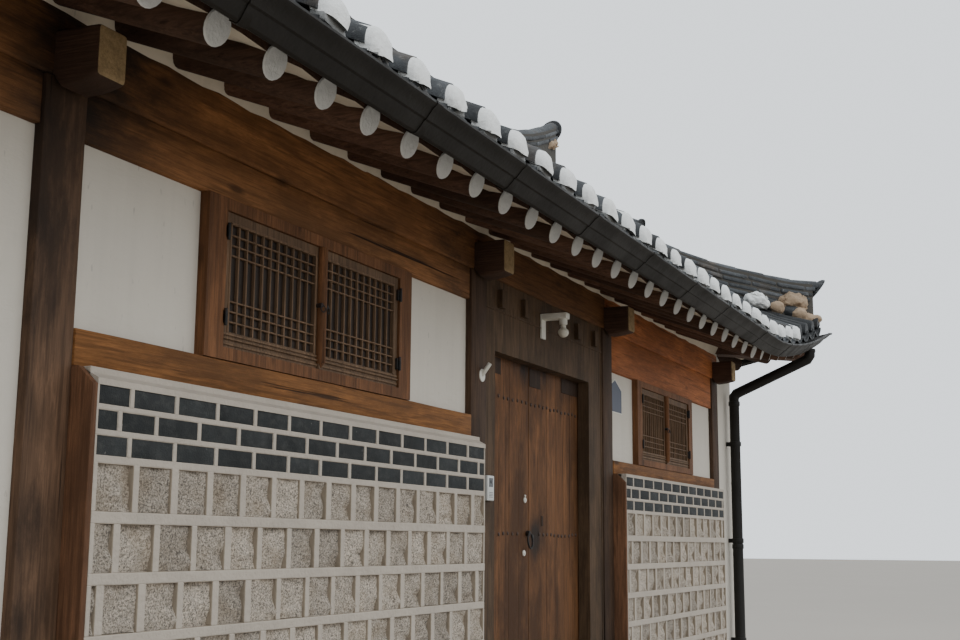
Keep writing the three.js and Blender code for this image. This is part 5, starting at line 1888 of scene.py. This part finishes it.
class HOUSE_OT_frame_finishes(bpy.types.Operator):
    """Finishes for the nodes of the frame that show as they are"""

    bl_idname = "house.frame_finishes"
    bl_label = "Finishes of the frame"

    FINISHES = {
        "front_plaster": "wall_plaster", "back_plaster": "wall_plaster", "end_wall": "wall_plaster",
        "roof_fill": "rafter_pine", "ridge_purlin": "beam_pine", "window_frame": "frame_pine",
        "window_casements": "casement_pine", "back_window": "frame_pine", "gate_frame": "gate_frame",
        "gate_step": "step_granite", "floor_slab": "floor_mortar", "back_frame": "post_pine",
        "gable": "gable_pine",
    }

    def execute(self, context):
        for name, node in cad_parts.items():
            if node.hide_render:
                continue
            kind = next((k for k in self.FINISHES if name.startswith(k)), None)
            if kind is None:
                raise RuntimeError(f"no finish is given for {name}")
            if not node.data.materials:
                node.data.materials.append(None)
            for i in range(len(node.data.materials)):
                node.data.materials[i] = finish_of(self.FINISHES[kind])
        return {"FINISHED"}


# Stage


class HOUSE_OT_stage(bpy.types.Operator):
    """Pale floor, soft studio light, and the camera at the street"""

    bl_idname = "house.stage"
    bl_label = "Stage"

    def execute(self, context):
        self.floor()
        self.lights(context.scene)
        self.camera(context.scene)
        return {"FINISHED"}

    def floor(self):
        clear()
        bpy.ops.mesh.primitive_plane_add(size=240, location=(0, 0, -0.0005))
        floor = settle(bpy.context.object, "floor")
        screed = Finish("pale_studio_floor", linear("#9d958b"))
        cloud = screed.pattern(3.0, 0.3, 0.7, (1, 1, 1), 3.0, 0.5)
        screed.coat(cloud, 0.2, "#928a80")
        floor.data.materials.append(screed.end(0.9, cloud, 0.001))

    def lights(self, scene):
        sky = bpy.data.worlds.new("soft_sky")
        sky.use_nodes = True
        back = sky.node_tree.nodes["Background"].inputs
        back["Color"].default_value, back["Strength"].default_value = linear(SKY), SKY_STRENGTH
        scene.world = sky
        for name, place, size, power in LIGHTS:
            light = bpy.data.lights.new(name, "AREA")
            light.size, light.energy = size, power
            lamp = bpy.data.objects.new(name, light)
            lamp.location = place
            lamp.rotation_euler = (Vector((0, 0, 1.5)) - Vector(place)).to_track_quat("-Z", "Y").to_euler()
            bpy.context.collection.objects.link(lamp)

    def camera(self, scene):
        """The view from the street, at eye height, along the wall and a little upwards."""
        yaw, pitch, roll = (math.radians(a) for a in EYE_ANGLES)
        ahead = Vector((math.cos(yaw) * math.cos(pitch), math.sin(yaw) * math.cos(pitch), math.sin(pitch)))
        right = Vector((math.sin(yaw), -math.cos(yaw), 0))
        up = right.cross(ahead)
        across = right * math.cos(roll) + up * math.sin(roll)
        upward = up * math.cos(roll) - right * math.sin(roll)
        view = bpy.data.cameras.new("street_view")
        view.lens, view.sensor_width, view.clip_end = LENS, SENSOR, 500
        eye = bpy.data.objects.new("street_view", view)
        eye.matrix_world = Matrix.Translation(EYE) @ Matrix((across, upward, -ahead)).transposed().to_4x4()
        bpy.context.collection.objects.link(eye)
        scene.camera = eye


class HOUSE_PT_panel(bpy.types.Panel):
    """Lists the pieces of the house, with the sizes and colours that they use"""

    bl_label = "Tiled street house"
    bl_space_type = "VIEW_3D"
    bl_region_type = "UI"
    bl_category = "House"

    def draw(self, context):
        for group in (context.scene.house_sizes, context.scene.house_colours):
            box = self.layout.box()
            for key in group.__annotations__:
                box.prop(group, key)
        for step in STEPS:
            self.layout.operator(step.bl_idname)


STEPS = (
    HOUSE_OT_timbers,
    HOUSE_OT_beams,
    HOUSE_OT_fire_walls,
    HOUSE_OT_windows,
    HOUSE_OT_gate,
    HOUSE_OT_fittings,
    HOUSE_OT_rafters,
    HOUSE_OT_soffit,
    HOUSE_OT_roof_tiles,
    HOUSE_OT_eave_plugs,
    HOUSE_OT_ridges,
    HOUSE_OT_gables,
    HOUSE_OT_gutter,
    HOUSE_OT_frame_finishes,
    HOUSE_OT_stage,
)
CLASSES = (HouseSizes, HouseColours, *STEPS, HOUSE_PT_panel)


def register():
    for kind in CLASSES:
        bpy.utils.register_class(kind)
    bpy.types.Scene.house_sizes = bpy.props.PointerProperty(type=HouseSizes)
    bpy.types.Scene.house_colours = bpy.props.PointerProperty(type=HouseColours)


def unregister():
    del bpy.types.Scene.house_colours
    del bpy.types.Scene.house_sizes
    for kind in reversed(CLASSES):
        bpy.utils.unregister_class(kind)


def main():
    register()
    for step in STEPS:
        group, name = step.bl_idname.split(".")
        getattr(getattr(bpy.ops, group), name)()
    clear()


if __name__ == "__main__":
    main()
